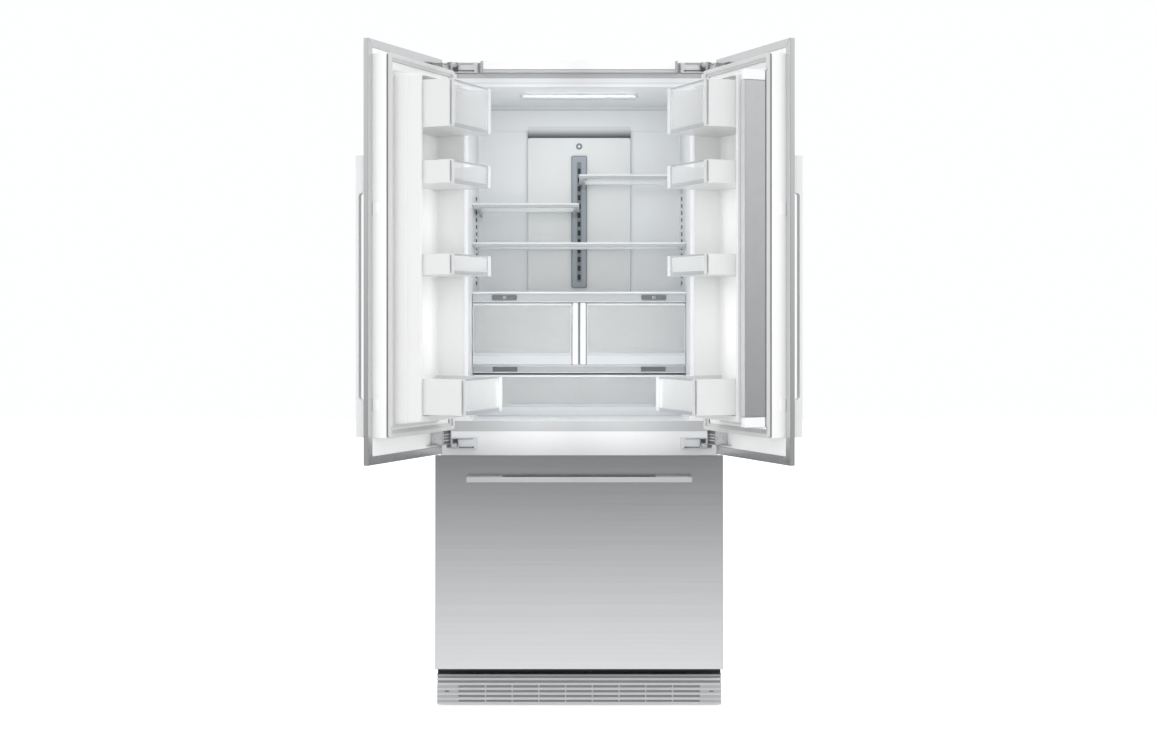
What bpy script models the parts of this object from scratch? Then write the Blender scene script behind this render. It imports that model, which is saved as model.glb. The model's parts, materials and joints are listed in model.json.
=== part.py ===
"""French door refrigerator with two doors, a freezer drawer and their inner fittings. Metres, +Z up.

The closed door panels stand at Y = 0 while the model is built and +Y runs into the cabinet. At the end
the whole object is moved so that its origin is the bottom centre of its box. The doors rest open."""

from math import cos, pi, radians, sin

import bpy
from mathutils import Matrix, Vector

# Fits
gap = 0.0003  # between pieces that touch
joint_gap = 0.003  # between door panels, drawer panel and header

# Overall
overall_height = 2.036
overall_width = 0.902
side_reveal = 0.011  # door panels past the cabinet's side
cabinet_width = overall_width - 2 * side_reveal
cabinet_back = 0.610
flange_front = 0.074  # face that the door seals close against
shell_wall = 0.040  # foam between the machine room and the freezer
plinth_height = 0.098
header_height = 0.035
header_front = 0.040
header_depth = 0.370
header_centre = cabinet_width / 2 - 0.128  # half the length of the header's deep middle

# Doors
door_bottom = 0.799
door_top = overall_height - 0.002
panel_depth = 0.016
panel_flange = 0.025
panel_skin = 0.002
open_angle = radians(113.5)
pivot_edge = 0.006  # hinge axis to the panel's outer edge
pivot_depth = 0.001
body_bottom = door_bottom + 0.078
body_top = door_top - 0.041
body_inset = 0.022  # foamed body to the hinge-side edge
body_lead = 0.0255  # foamed body to the leading edge
body_depth = flange_front - 0.013
body_inner = 0.0117  # how far the well is sunk into the body
dyke_wall = 0.014
dyke_lead_wall = 0.021
dyke_depth = 0.155
dyke_hinge = 0.104
dyke_lead = 0.052
dyke_above = 0.039  # raised ring over the body's lower end
dyke_below = 0.054  # and under its upper end
gasket_width = 0.021
gasket_lead_depth = flange_front + 0.0037

# Fridge compartment
fridge_half = cabinet_width / 2 - 0.087
fridge_floor = door_bottom + 0.100
fridge_ceiling = overall_height - header_height - 0.043
fridge_back = cabinet_back - 0.050
floor_flange = 0.034
liner_wall = 0.003
track_depth = 0.0015
track_front, track_back = fridge_back - 0.095, fridge_back - 0.080

# Freezer compartment
drawer_bottom = 0.124
drawer_top = door_bottom - 0.004
freezer_half = cabinet_width / 2 - 0.068
freezer_floor = 0.140
freezer_ceiling = drawer_top - 0.035
freezer_back = cabinet_back - 0.120
ceiling_flange = 0.012
machine_room_top = 0.330
machine_room_front = cabinet_back - 0.230
machine_room_side = 0.030
machine_floor = 0.012
evaporator_half = 0.280
evaporator_depth = 0.045
evaporator_bottom = 0.440
evaporator_top = 0.680

# Mullion
mullion_depth = 0.068
mullion_thick = 0.023
mullion_axis_in = 0.0048
mullion_rise = 0.0007  # the folded flipper starts this far under its axis
mullion_bottom = body_bottom + 0.034
mullion_top = body_top - 0.053
lug_thick = 0.005
lug_depth = (flange_front + 0.0045, flange_front + 0.0160)  # arms that carry the mullion's ends

# Door bins: bottom, top, front depth
bin_wall = 0.003
bin_depth = 0.247
deep_bin_depth = 0.285
bin_levels = ((1.777, 1.914, bin_depth), (1.614, 1.682, bin_depth),
              (1.350, 1.411, bin_depth), (0.945, 1.050, deep_bin_depth))
lid_thick = 0.0025
lid_depth = 0.060
lid_pin = 0.0035

# Handles
handle_thick = 0.016
handle_reach = 0.042
handle_bar = 0.010
handle_post = 0.110
door_handle_bottom = 0.878
door_handle_length = 0.820
door_handle_inset = 0.035
drawer_handle_length = 0.702
drawer_handle_z = 0.722

# Hinges
hinge_inner_radius = 0.032
hinge_outer_radius = 0.062
link_low, link_inside, link_high = radians(16.5), radians(33), radians(88)
hinge_leaf = 0.008
hinge_base_depth = 0.010
hinge_base_in = 0.023  # pivot to the base's outer end
hinge_base_length = 0.100
hinge_nose_front = 0.020
nose_near, nose_far = 0.017, 0.042  # nose's ends from the base's outer end
hinge_height = 0.034
hinge_z_low = door_bottom + 0.012
nose_low, nose_high = 0.004, 0.006  # nose from the lower base's foot, and from the upper base's top
cup_span = (0.016, 0.075)
cup_depth = body_depth - 0.003

# Shelves and drawers
shelf_front = 0.268
shelf_thick = 0.014
shelf_arm = 0.018
upper_left_shelf_z = 1.603
upper_right_shelf_z = 1.698
middle_shelf_z = 1.474
crisper_shelf_z = 1.311
crisper_shelf_depth = 0.035
deli_shelf_z = 1.070
deli_shelf_depth = 0.028
deli_front = 0.300
crisper_top = crisper_shelf_z - crisper_shelf_depth - 0.003
deli_top = deli_shelf_z - deli_shelf_depth - 0.006
drawer_wall = 0.003
drawer_back_gap = 0.020
drawer_side_gap = 0.0015
divider_width = 0.046
slider_half = 0.041
slider_centre = fridge_half - 0.107
slider_travel = 0.030
slider_tall = 0.016
slider_thick = 0.006

# Air duct and lamp
duct_half = 0.178
duct_bottom = crisper_shelf_z - 0.015
duct_top = 1.848
duct_depth = 0.015
column_half = 0.027
column_depth = 0.008
vent_levels = (1.36, 1.41, 1.50, 1.55, 1.63, 1.68, 1.73)
lens_half = 0.195
lens_front, lens_back = 0.212, 0.319
lens_depth = 0.011

# Freezer drawer
freezer_body_bottom = drawer_bottom + 0.026
freezer_body_top = drawer_top - 0.030
freezer_body_half = overall_width / 2 - 0.036
freezer_body_depth = flange_front - 0.013
basket_half = freezer_half - 0.042
basket_back = freezer_back - 0.030
basket_floor = 0.170
basket_bottom = 0.375
basket_top = 0.540
tray_top = 0.640
tray_front = 0.110
tray_length = basket_back - 0.050 - tray_front
rail_height = 0.018
rail_depth = 0.012
rail_drop = 0.060

# Machine room
compressor_x, compressor_y = 0.20, cabinet_back - 0.115
compressor_radius = 0.075
coil_low = -(cabinet_width / 2 - 0.080)
coil_high = coil_low + 0.270
coil_front = cabinet_back - 0.150
coil_depth = 0.050
coil_tall = 0.180
shroud_depth = 0.035
shroud_half = 0.105
fan_radius = 0.073
fan_clear = 0.007
fan_motor = 0.018

# Base
foot_x = cabinet_width / 2 - 0.060
foot_y = 0.130
foot_radius = 0.018
roller_radius = 0.024
roller_width = 0.028
roller_y = cabinet_back - 0.065
axle_radius = 0.006
hanger_half = 0.016
hanger_wall = 0.004
hanger_inner, hanger_outer = -0.043, 0.020  # hangers each side of a roller
grille_bottom = 0.004
grille_front = 0.047
grille_depth = 0.020
grille_end = 0.075
grille_rows, grille_fields = 5, 5
grille_rib = 0.006
louvre_pitch = 0.0158
louvre_slot = 0.0075
louvre_first = 0.011

colours = {
    "white": ((0.86, 0.87, 0.88), 0.35, 0.0), "steel": ((0.55, 0.56, 0.57), 0.32, 1.0),
    "grey": ((0.42, 0.43, 0.45), 0.40, 0.0), "seal": ((0.50, 0.51, 0.52), 0.60, 0.0),
    "clear": ((0.80, 0.84, 0.86), 0.08, 0.0), "dark": ((0.03, 0.03, 0.03), 0.50, 0.0),
    "satin": ((0.70, 0.71, 0.72), 0.28, 1.0), "copper": ((0.72, 0.42, 0.25), 0.35, 1.0),
}

for old in list(bpy.data.objects):
    bpy.data.objects.remove(old)
scene = bpy.context.scene


def empty(name, place=(0, 0, 0), parent=None, turn=0.0):
    """An unseen frame for a body, standing on its joint's axis."""
    frame = bpy.data.objects.new(name, None)
    scene.collection.objects.link(frame)
    frame.location = place
    frame.rotation_euler.z = turn
    frame.parent = parent
    return frame


root = empty("refrigerator")


def material(key):
    found = bpy.data.materials.get(key)
    if found:
        return found
    colour, roughness, metallic = colours[key]
    made = bpy.data.materials.new(key)
    made.use_nodes = True
    shader = made.node_tree.nodes["Principled BSDF"]
    shader.inputs["Base Color"].default_value = (*colour, 1)
    shader.inputs["Roughness"].default_value = roughness
    shader.inputs["Metallic"].default_value = metallic
    return made


def solid(name, points, faces, key=None, parent=None):
    mesh = bpy.data.meshes.new(name)
    mesh.from_pydata(points, [], faces)
    made = bpy.data.objects.new(name, mesh)
    scene.collection.objects.link(made)
    made.parent = parent
    if key:
        mesh.materials.append(material(key))
    else:
        made.hide_render = True
        made.display_type = "WIRE"
    return made


def prism(name, outline, low, high, axis="z", key=None, parent=None):
    """An outline, counter-clockwise seen from the axis's end, extruded from low to high along the axis.
    The outline's pairs are (x, y) for z, (y, z) for x and (z, x) for y."""
    order = {"z": (0, 1, 2), "x": (2, 0, 1), "y": (1, 2, 0)}[axis]
    points = [tuple((*pair, level)[i] for i in order) for level in (low, high) for pair in outline]
    count = len(outline)
    sides = [(i, (i + 1) % count, (i + 1) % count + count, i + count) for i in range(count)]
    caps = [tuple(reversed(range(count))), tuple(range(count, 2 * count))]
    return solid(name, points, sides + caps, key, parent)


def box(name, x, y, z, key=None, parent=None):
    corners = [(x[0], y[0]), (x[1], y[0]), (x[1], y[1]), (x[0], y[1])]
    return prism(name, corners, z[0], z[1], "z", key, parent)


def disc(centre, radius, count=16):
    """Points of a circle, counter-clockwise."""
    return [(centre[0] + radius * cos(2 * pi * i / count), centre[1] + radius * sin(2 * pi * i / count))
            for i in range(count)]


def arc(centre, radius, start, end, count=8):
    return [(centre[0] + radius * cos(start + (end - start) * i / count),
             centre[1] + radius * sin(start + (end - start) * i / count)) for i in range(count + 1)]


def combine(target, operation, *tools):
    """Cuts the tools from the target, or joins them to it. A tool lies in the target's own frame."""
    for tool in tools:
        tool.parent = target.parent
        step = target.modifiers.new(tool.name, "BOOLEAN")
        step.operation = operation
        step.solver = "EXACT"
        step.object = tool
    return target


def cut(target, *tools):
    return combine(target, "DIFFERENCE", *tools)


def join(target, *tools):
    return combine(target, "UNION", *tools)


def mirrored(side, low, high):
    """A span in X for one side: side is -1 for left, 1 for right."""
    return (low, high) if side > 0 else (-high, -low)


def cabinet():
    half = cabinet_width / 2
    top = overall_height - header_height - gap
    shell = box("cabinet_shell", (-half, half), (flange_front + gap, cabinet_back),
                (plinth_height, top), "white", root)
    fridge_cut = box("fridge_cavity", (-fridge_half - liner_wall - gap, fridge_half + liner_wall + gap),
                     (0, fridge_back + liner_wall + gap),
                     (fridge_floor - liner_wall - gap, fridge_ceiling + liner_wall + gap))
    freezer_cut = prism("freezer_cavity", freezer_outline(liner_wall + gap, 0.065),
                        -freezer_half - liner_wall - gap, freezer_half + liner_wall + gap, "x")
    machine = box("machine_room", (-half + machine_room_side, half - machine_room_side),
                  (machine_room_front, cabinet_back + 0.1),
                  (plinth_height + machine_floor, machine_room_top))
    seat = (-half + 0.0015, half - 0.0015)
    flange = box("flange_seat", seat, (0, flange_front + liner_wall + gap),
                 (fridge_floor - floor_flange - gap, top + 0.01))
    freezer_flange = box("freezer_flange_seat", seat, (0, flange_front + liner_wall + gap),
                         (0, freezer_ceiling + ceiling_flange + gap))
    coil_room = box("evaporator_room", (-evaporator_half - 0.01, evaporator_half + 0.01),
                    (freezer_back - 0.01, freezer_back + evaporator_depth + 0.001),
                    (evaporator_bottom - 0.01, evaporator_top + 0.01))
    cut(shell, fridge_cut, freezer_cut, machine, flange, freezer_flange, coil_room)
    hangers = []
    for side in (-1, 1):
        for offset in (hanger_inner, hanger_outer):
            x = foot_x + offset
            hangers.append(box("roller_hanger", mirrored(side, x, x + hanger_wall),
                               (roller_y - hanger_half, roller_y + hanger_half),
                               (roller_radius - 2 * axle_radius, plinth_height + machine_floor / 2)))
    join(shell, *hangers)
    axle_cut = prism("axle_bores", disc((roller_y, roller_radius), axle_radius + gap), -half - 0.1,
                     half + 0.1, "x")
    cut(shell, axle_cut)
    return shell


def freezer_outline(grow, front):
    """Side outline (Y, Z) of the freezer space, stepped over the machine room."""
    step_y = machine_room_front - shell_wall + grow
    step_z = machine_room_top + 0.035 - grow
    return [(front - 0.1, freezer_floor - grow), (step_y, freezer_floor - grow), (step_y, step_z),
            (freezer_back + grow, step_z), (freezer_back + grow, freezer_ceiling + grow),
            (front - 0.1, freezer_ceiling + grow)]


def liners():
    half = cabinet_width / 2 - 0.0018
    wall = liner_wall
    front = (flange_front, flange_front + wall)
    fridge = box("fridge_liner", (-fridge_half - wall, fridge_half + wall),
                 (flange_front, fridge_back + wall),
                 (fridge_floor - wall, fridge_ceiling + wall), "white", root)
    plate = box("fridge_flange", (-half, half), front,
                (fridge_floor - floor_flange, overall_height - header_height - gap))
    space = box("fridge_space", (-fridge_half, fridge_half), (0, fridge_back),
                (fridge_floor, fridge_ceiling))
    track = [box("ladder_slot", mirrored(side, fridge_half - 0.1, fridge_half + track_depth),
                 (track_front, track_back), (crisper_shelf_z + 0.019, upper_left_shelf_z + 0.047)) for side in (-1, 1)]
    cut(join(fridge, plate), space, *track)
    freezer = prism("freezer_liner", freezer_outline(wall, flange_front + 0.1), -freezer_half - wall,
                    freezer_half + wall, "x", "white", root)
    lower_plate = box("freezer_flange", (-half, half), front,
                      (plinth_height + 0.004, freezer_ceiling + ceiling_flange))
    freezer_space = prism("freezer_space", freezer_outline(0, 0), -freezer_half, freezer_half, "x")
    cut(join(freezer, lower_plate), freezer_space)


def header():
    half = cabinet_width / 2
    low = overall_height - header_height
    rail = box("top_rail", (-half, half), (header_front, header_front + header_depth),
               (low, overall_height), "white", root)
    pockets = [box("hinge_pocket", mirrored(side, header_centre, half + 0.1), (0, flange_front + 0.004),
                   (low - 0.1, overall_height + 0.1))
               for side in (-1, 1)]
    return cut(rail, *pockets)


def toe_grille():
    half = overall_width / 2 - 0.002
    z = (grille_bottom, plinth_height - gap)
    y = (grille_front, grille_front + grille_depth)
    grille = box("toe_grille", (-half, half), y, z, "grey", root)
    field = 2 * (half - grille_end) / grille_fields
    slots = []
    for row in range(grille_rows):
        low = grille_bottom + louvre_first + row * louvre_pitch
        for column in range(grille_fields):
            x = -half + grille_end + column * field
            slots.append(box("grille_slot", (x + grille_rib / 2, x + field - grille_rib / 2), (0, 0.2),
                             (low, low + louvre_slot)))
    cut(grille, *slots)
    brackets = [box("grille_bracket", mirrored(side, half - 0.060, half - 0.045), (y[1] - 0.002, 0.100),
                    (0.060, plinth_height - gap)) for side in (-1, 1)]
    join(grille, *brackets)


def machine_parts():
    floor = plinth_height + machine_floor + gap
    middle = (compressor_x, compressor_y)
    compressor = prism("compressor", disc(middle, compressor_radius, 24), floor + 0.012, floor + 0.150,
                       "z", "dark", root)
    feet = [box("compressor_foot", (compressor_x + dx - 0.012, compressor_x + dx + 0.012),
                (compressor_y - compressor_radius - 0.010, compressor_y + compressor_radius + 0.010),
                (floor, floor + 0.016)) for dx in (-0.055, 0.055)]
    dome = prism("compressor_dome", disc(middle, compressor_radius - 0.015, 24), floor + 0.14,
                 floor + 0.168)
    join(compressor, *feet, dome)
    coil_back = coil_front + coil_depth
    condenser = box("condenser", (coil_low, coil_high), (coil_front, coil_back), (floor, floor + coil_tall),
                    "copper", root)
    fins = [box("fin_gap", (x, x + 0.016), (coil_front - 0.2, coil_back + 0.2),
                (floor + 0.012, floor + coil_tall - 0.012))
            for x in (coil_low + 0.016 + i * 0.03 for i in range(8))]
    fan_x = (coil_low + coil_high) / 2
    fan_z = floor + coil_tall / 2 - 0.002
    shroud = (coil_front - shroud_depth, coil_front + 0.005)
    duct = box("fan_shroud", (fan_x - shroud_half, fan_x + shroud_half), shroud,
               (floor, floor + coil_tall - 0.004))
    bore = prism("fan_bore", disc((fan_z, fan_x), fan_radius + fan_clear, 24), shroud[0] - 0.1,
                 coil_back + 0.1, "y")
    arm_front = coil_front - 0.014
    arm = box("fan_arm", (fan_x - 0.006, fan_x + 0.006), (arm_front, shroud[1]),
              (floor + 0.002, floor + coil_tall - 0.006))
    motor = prism("fan_motor", disc((fan_z, fan_x), fan_motor), arm_front - 0.002, shroud[1], "y")
    cut(join(condenser, duct), bore, *fins)
    join(condenser, arm, motor)
    fan_y = coil_front - 0.025
    hub = empty("condenser_fan_frame", (fan_x, fan_y, fan_z), root)
    fan = prism("condenser_fan", disc((0, 0), fan_motor - 0.002), -0.006, arm_front - 0.002 - gap - fan_y,
                "y", "dark", hub)
    for i in range(5):
        blade = box("fan_blade", (0.010, fan_radius - 0.001), (-0.005, 0.004), (-0.016, 0.016))
        blade.data.transform(Matrix.Rotation(2 * pi * i / 5, 4, "Y"))
        join(fan, blade)
    box("evaporator", (-evaporator_half, evaporator_half),
        (freezer_back + liner_wall + gap, freezer_back + evaporator_depth),
        (evaporator_bottom, evaporator_top), "satin", root)


def air_duct():
    back = fridge_back - gap
    front = back - duct_depth
    cover = box("duct_cover", (-duct_half, duct_half), (front, back), (duct_bottom, duct_top), "grey", root)
    column = box("duct_column", (-column_half, column_half), (front - column_depth, front + 0.001),
                 (duct_bottom + 0.032, duct_top - 0.063))
    join(cover, column)
    vents = [box("duct_vent", (-0.017, 0.017), (0, front - 0.003), (z, z + 0.028))
             for z in vent_levels]
    cut(cover, *vents)
    lens = [(lens_front, fridge_ceiling - gap), (lens_front + 0.010, fridge_ceiling - lens_depth),
            (lens_back - 0.010, fridge_ceiling - lens_depth), (lens_back, fridge_ceiling - gap)]
    prism("light_lens", lens, -lens_half, lens_half, "x", "clear", root)


def shelves():
    inner = fridge_half - gap
    back = fridge_back - gap
    duct_face = back - duct_depth - column_depth - gap
    full = (-inner, inner)
    for name, x, z in (("upper_left_shelf", (-inner, -gap), upper_left_shelf_z),
                       ("upper_right_shelf", (gap, inner), upper_right_shelf_z)):
        side = -1 if x[0] < -gap else 1
        plate = box(name, x, (shelf_front, duct_face), (z - shelf_thick, z), "clear", root)
        for at in (0.012, fridge_half - 0.020):
            arm = box("shelf_arm", mirrored(side, at, at + 0.008), (shelf_front + 0.1, duct_face),
                      (z - shelf_thick - shelf_arm, z - 0.004))
            join(plate, arm)
    box("middle_shelf", full, (shelf_front, duct_face), (middle_shelf_z - shelf_thick, middle_shelf_z),
        "clear", root)
    crisper = box("crisper_shelf", full, (shelf_front, back),
                  (crisper_shelf_z - crisper_shelf_depth, crisper_shelf_z),
                  "white", root)
    # the duct's foot stands on the shelf, so the shelf is cut back around it
    duct_room = box("duct_room", (-duct_half - gap, duct_half + gap),
                    (back - duct_depth - column_depth - gap, back + 0.1),
                    (duct_bottom - gap, crisper_shelf_z + 0.1))
    hollow = box("crisper_shelf_under", (-inner + 0.012, inner - 0.012),
                 (shelf_front + 0.012, back - 0.012),
                 (0, crisper_shelf_z - 0.008))
    rib = box("crisper_shelf_rib", (-divider_width / 2, divider_width / 2),
              (shelf_front + 0.002, back - 0.002),
              (crisper_shelf_z - crisper_shelf_depth, crisper_shelf_z - 0.004))
    cut(join(cut(crisper, hollow), rib), duct_room)
    deli = box("deli_shelf", full, (deli_front, back), (deli_shelf_z - deli_shelf_depth, deli_shelf_z),
               "white", root)
    deli_hollow = box("deli_shelf_under", (-inner + 0.012, inner - 0.012),
                      (deli_front + 0.012, back - 0.012),
                      (0, deli_shelf_z - 0.006))
    cut(deli, deli_hollow)
    z = crisper_shelf_z - crisper_shelf_depth + 0.008
    windows = [box("slider_window", mirrored(side, slider_centre - slider_half - slider_travel - gap,
                                             slider_centre + slider_half + gap),
                   (shelf_front - 0.02, shelf_front + slider_thick),
                   (z, z + slider_tall)) for side in (-1, 1)]
    cut(crisper, *windows)
    for side, name in ((-1, "left_humidity_slider"), (1, "right_humidity_slider")):
        frame = empty(name + "_frame", (side * slider_centre, shelf_front, z), root)
        box(name, (-slider_half, slider_half), (0.0005, slider_thick - gap), (gap, slider_tall - gap),
            "grey", frame)
    divider = box("crisper_divider", (-divider_width / 2, divider_width / 2), (shelf_front + 0.004, back),
                  (deli_shelf_z + gap, crisper_shelf_z - crisper_shelf_depth - gap), "white", root)
    groove = box("divider_groove", (-0.003, 0.003), (0, shelf_front + 0.010),
                 (deli_shelf_z - 0.1, crisper_shelf_z + 0.1))
    cut(divider, groove)


def open_drawer(name, x, y, z, key, parent, lip=0.0):
    """A drawer box open at the top, standing on its own floor."""
    wall = drawer_wall
    tub = box(name, x, y, z, key, parent)
    room = box(name + "_room", (x[0] + wall, x[1] - wall), (y[0] + wall + lip, y[1] - wall),
               (z[0] + wall, z[1] + 0.1))
    return cut(tub, room)


def chilled_drawers():
    back = fridge_back - drawer_back_gap
    for side, name in ((-1, "left_crisper"), (1, "right_crisper")):
        x = mirrored(side, divider_width / 2 + drawer_side_gap, fridge_half - drawer_side_gap)
        front = shelf_front + 0.006
        frame = empty(name + "_frame", (0, front, 0), root)
        open_drawer(name, x, (0, back - front), (deli_shelf_z + gap, crisper_top), "clear", frame, 0.004)
    frame = empty("deli_drawer_frame", (0, deli_front + 0.002, 0), root)
    open_drawer("deli_drawer", (-fridge_half + drawer_side_gap, fridge_half - drawer_side_gap),
                (0, back - deli_front - 0.002),
                (fridge_floor + gap, deli_top), "clear", frame, 0.004)


def bar_handle(name, start, length, centre, parent, upright):
    """A flat bar with a solid block at each end; the open gap between them is the finger grip."""
    low, high = start, start + length
    half = handle_thick / 2
    reach = (-handle_reach, -gap)
    if upright:
        bar = box(name, (centre - half, centre + half), reach, (low, high), "satin", parent)
        grip = box(name + "_grip", (centre - 0.1, centre + 0.1), (-handle_reach + handle_bar, 0.1),
                   (low + handle_post, high - handle_post))
    else:
        bar = box(name, (low, high), reach, (centre - half, centre + half), "satin", parent)
        grip = box(name + "_grip", (low + handle_post, high - handle_post),
                   (-handle_reach + handle_bar, 0.1),
                   (centre - 0.1, centre + 0.1))
    return cut(bar, grip)


def door_span(side, low, high):
    """From distances to the door's hinge-side edge to X beside the hinge axis, as built closed."""
    if side < 0:
        return (low - pivot_edge, high - pivot_edge)
    return (pivot_edge - high, pivot_edge - low)


def door(side, hand):
    """side is -1 for the left door. Everything lies in the hinge frame, built closed and turned open."""
    width = (overall_width - joint_gap) / 2
    frame = empty(hand + "_door_frame", (side * (overall_width / 2 - pivot_edge), pivot_depth, 0), root,
                  side * open_angle)
    deep = -pivot_depth

    def block(name, s, n, z, key=None, parent=frame):
        return box(name, door_span(side, *s), (n[0] + deep, n[1] + deep), z, key, parent)

    panel = block(hand + "_door_panel", (0, width), (0, panel_depth), (door_bottom, door_top), "steel")
    cut(panel, block("panel_recess", (panel_flange, width - panel_flange), (panel_skin, 0.1),
                     (door_bottom + panel_flange, door_top - panel_flange), parent=None))

    body_far = width - body_lead
    inner = block(hand + "_door_inner", (body_inset, body_far), (panel_depth + gap, body_depth),
                  (body_bottom, body_top), "white")
    backing = block("panel_backing", (panel_flange + gap, width - panel_flange - gap),
                    (panel_skin + gap, 0.03),
                    (door_bottom + panel_flange + gap, door_top - panel_flange - gap))
    trim = block("backing_trim", (-0.1, width + 0.1), (panel_depth, 0.2), (door_bottom - 0.1, body_bottom),
                 parent=None)
    trim_top = block("backing_trim_top", (-0.1, width + 0.1), (panel_depth, 0.2),
                     (body_top, door_top + 0.1), parent=None)
    trim_side = block("backing_trim_side", (-0.1, body_inset), (panel_depth, 0.2),
                      (door_bottom - 0.1, door_top + 0.1),
                      parent=None)
    cut(backing, trim, trim_top, trim_side)
    dyke_low, dyke_high = body_bottom + dyke_above, body_top - dyke_below
    dyke_far = width - dyke_lead
    dyke = block("dyke", (dyke_hinge, dyke_far), (body_depth - 0.004, dyke_depth), (dyke_low, dyke_high),
                 parent=None)
    well = block("dyke_well", (dyke_hinge + dyke_wall, dyke_far - dyke_lead_wall),
                 (body_depth - 0.012, 0.3),
                 (dyke_low + dyke_wall, dyke_high - dyke_wall), parent=None)
    join(inner, backing, dyke)
    cut(inner, well)
    for low in ("lower", "upper"):
        cup = block(low + "_hinge_cup", cup_span, (panel_depth + gap, cup_depth),
                    cup_levels(low), parent=None)
        join(inner, cup)

    seal_out = (body_inset + 0.001, body_far - 0.001)
    seal = block(hand + "_door_gasket", seal_out, (body_depth + gap, flange_front - gap),
                 (body_bottom + 0.001, body_top - 0.001), "seal")
    seal_hole = block("seal_hole", (seal_out[0] + gasket_width, seal_out[1] - gasket_width), (0, 0.2),
                      (body_bottom + 0.001 + gasket_width, body_top - 0.001 - gasket_width), parent=None)
    lead = block("seal_lead", (seal_out[1] - gasket_width, seal_out[1]),
                 (body_depth + 0.004, gasket_lead_depth), (mullion_bottom, mullion_top), parent=None)
    join(cut(seal, seal_hole), lead)

    s = door_span(side, width - door_handle_inset, width - door_handle_inset)[0]
    handle_frame = empty(hand + "_handle_frame", (0, deep, 0), frame)
    bar_handle(hand + "_door_handle", door_handle_bottom, door_handle_length, s, handle_frame, True)

    start = dyke_hinge + dyke_wall + gap
    end = dyke_far - dyke_lead_wall - gap
    for number, (low, high, front) in enumerate(bin_levels, 1):
        tub = block(f"{hand}_door_bin_{number}", (start, end), (body_depth - body_inner, front),
                    (low, high), "clear")
        room = block("bin_room", (start + 2 * bin_wall, end - 2 * bin_wall),
                     (body_depth - 0.012 + 2 * bin_wall, front - bin_wall), (low + bin_wall, high + 0.1),
                     parent=None)
        cut(tub, room)
    low, high, front = bin_levels[0]
    x = door_span(side, start + 2 * bin_wall + gap, end - 2 * bin_wall - gap)
    lid_frame = empty(hand + "_lid_frame", (0, front - bin_wall - gap - lid_pin - 0.0005 + deep,
                                            high - 2 * lid_thick), frame)
    lid = box(hand + "_dairy_lid", x, (-lid_depth, 0), (-lid_thick / 2, lid_thick / 2), "clear", lid_frame)
    pin = prism("lid_pin", disc((0, 0), lid_pin, 12), x[0], x[1], "x")
    join(lid, pin)

    if side > 0:
        mullion(frame, width, deep)
        riser = (dyke_far - dyke_wall, dyke_far)
        arm = (dyke_far - 0.002, mullion_axis(width)[0] + mullion_axis_in)
        for end, out, root_z in ((mullion_bottom - gap, -lug_thick, dyke_low + 0.004),
                                 (mullion_top + gap, lug_thick, dyke_high - 0.004)):
            join(inner, block("lug_riser", riser, lug_depth, sorted((end + out, root_z)), parent=None),
                 block("lug_arm", arm, lug_depth, sorted((end, end + out)), parent=None))


def cup_levels(low):
    if low == "lower":
        return (hinge_levels("lower")["link"][1] + gap, body_bottom + 0.004)
    return (body_top - 0.004, hinge_levels("upper")["link"][0] - gap)


def hinge_levels(low):
    """Heights of the base, of its nose and of the link that turns on the nose."""
    if low == "lower":
        base = (hinge_z_low, hinge_z_low + hinge_height)
        nose = (hinge_z_low + nose_low, hinge_z_low + nose_low + hinge_leaf)
        link = (nose[1] + gap, nose[1] + gap + hinge_leaf)
    else:
        base = (overall_height - hinge_height + 0.001, overall_height)
        nose = (overall_height - nose_high - hinge_leaf, overall_height - nose_high)
        link = (nose[0] - gap - hinge_leaf, nose[0] - gap)
    return {"base": base, "nose": nose, "link": link}


def hinges():
    for side, hand in ((-1, "left"), (1, "right")):
        pivot_x = side * (overall_width / 2 - pivot_edge)
        for low in ("lower", "upper"):
            levels = hinge_levels(low)
            seat = flange_front + gap if low == "lower" else flange_front + 0.004
            outer = overall_width / 2 - pivot_edge - hinge_base_in
            x = mirrored(side, outer - hinge_base_length, outer)
            base = box(f"{hand}_{low}_hinge_base", x, (seat - gap - hinge_base_depth, seat - gap),
                       levels["base"], "satin", root)
            nose = box("hinge_nose", mirrored(side, outer - nose_far, outer - nose_near),
                       (hinge_nose_front, seat - 0.002),
                       levels["nose"])
            join(base, nose)
            frame = empty(f"{hand}_{low}_link_frame", (pivot_x, pivot_depth, 0), root,
                          side * open_angle / 2)
            outline = (arc((0, 0), hinge_outer_radius, link_low, link_high)
                       + arc((0, 0), hinge_inner_radius, link_high, link_inside))
            if side > 0:
                outline = [(-x, y) for x, y in reversed(outline)]
            prism(f"{hand}_{low}_hinge_link", outline, *levels["link"], "z", "steel", frame)


def mullion_axis(width):
    """The flipper's axis, as distances from the panel's hinge-side edge and front face."""
    return (width - body_lead - 0.001 - mullion_axis_in, gasket_lead_depth + gap + mullion_axis_in)


def mullion(frame, width, deep):
    """Flipper that seals between the doors; it is modelled folded back beside the door's raised ring."""
    axis = mullion_axis(width)
    hinge = empty("mullion_frame", (door_span(1, axis[0], axis[0])[0], axis[1] + deep, 0), frame)
    thin = (-mullion_axis_in, mullion_thick - mullion_axis_in)
    box("mullion", thin, (-mullion_rise, mullion_depth - mullion_rise), (mullion_bottom, mullion_top),
        "grey", hinge)


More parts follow.
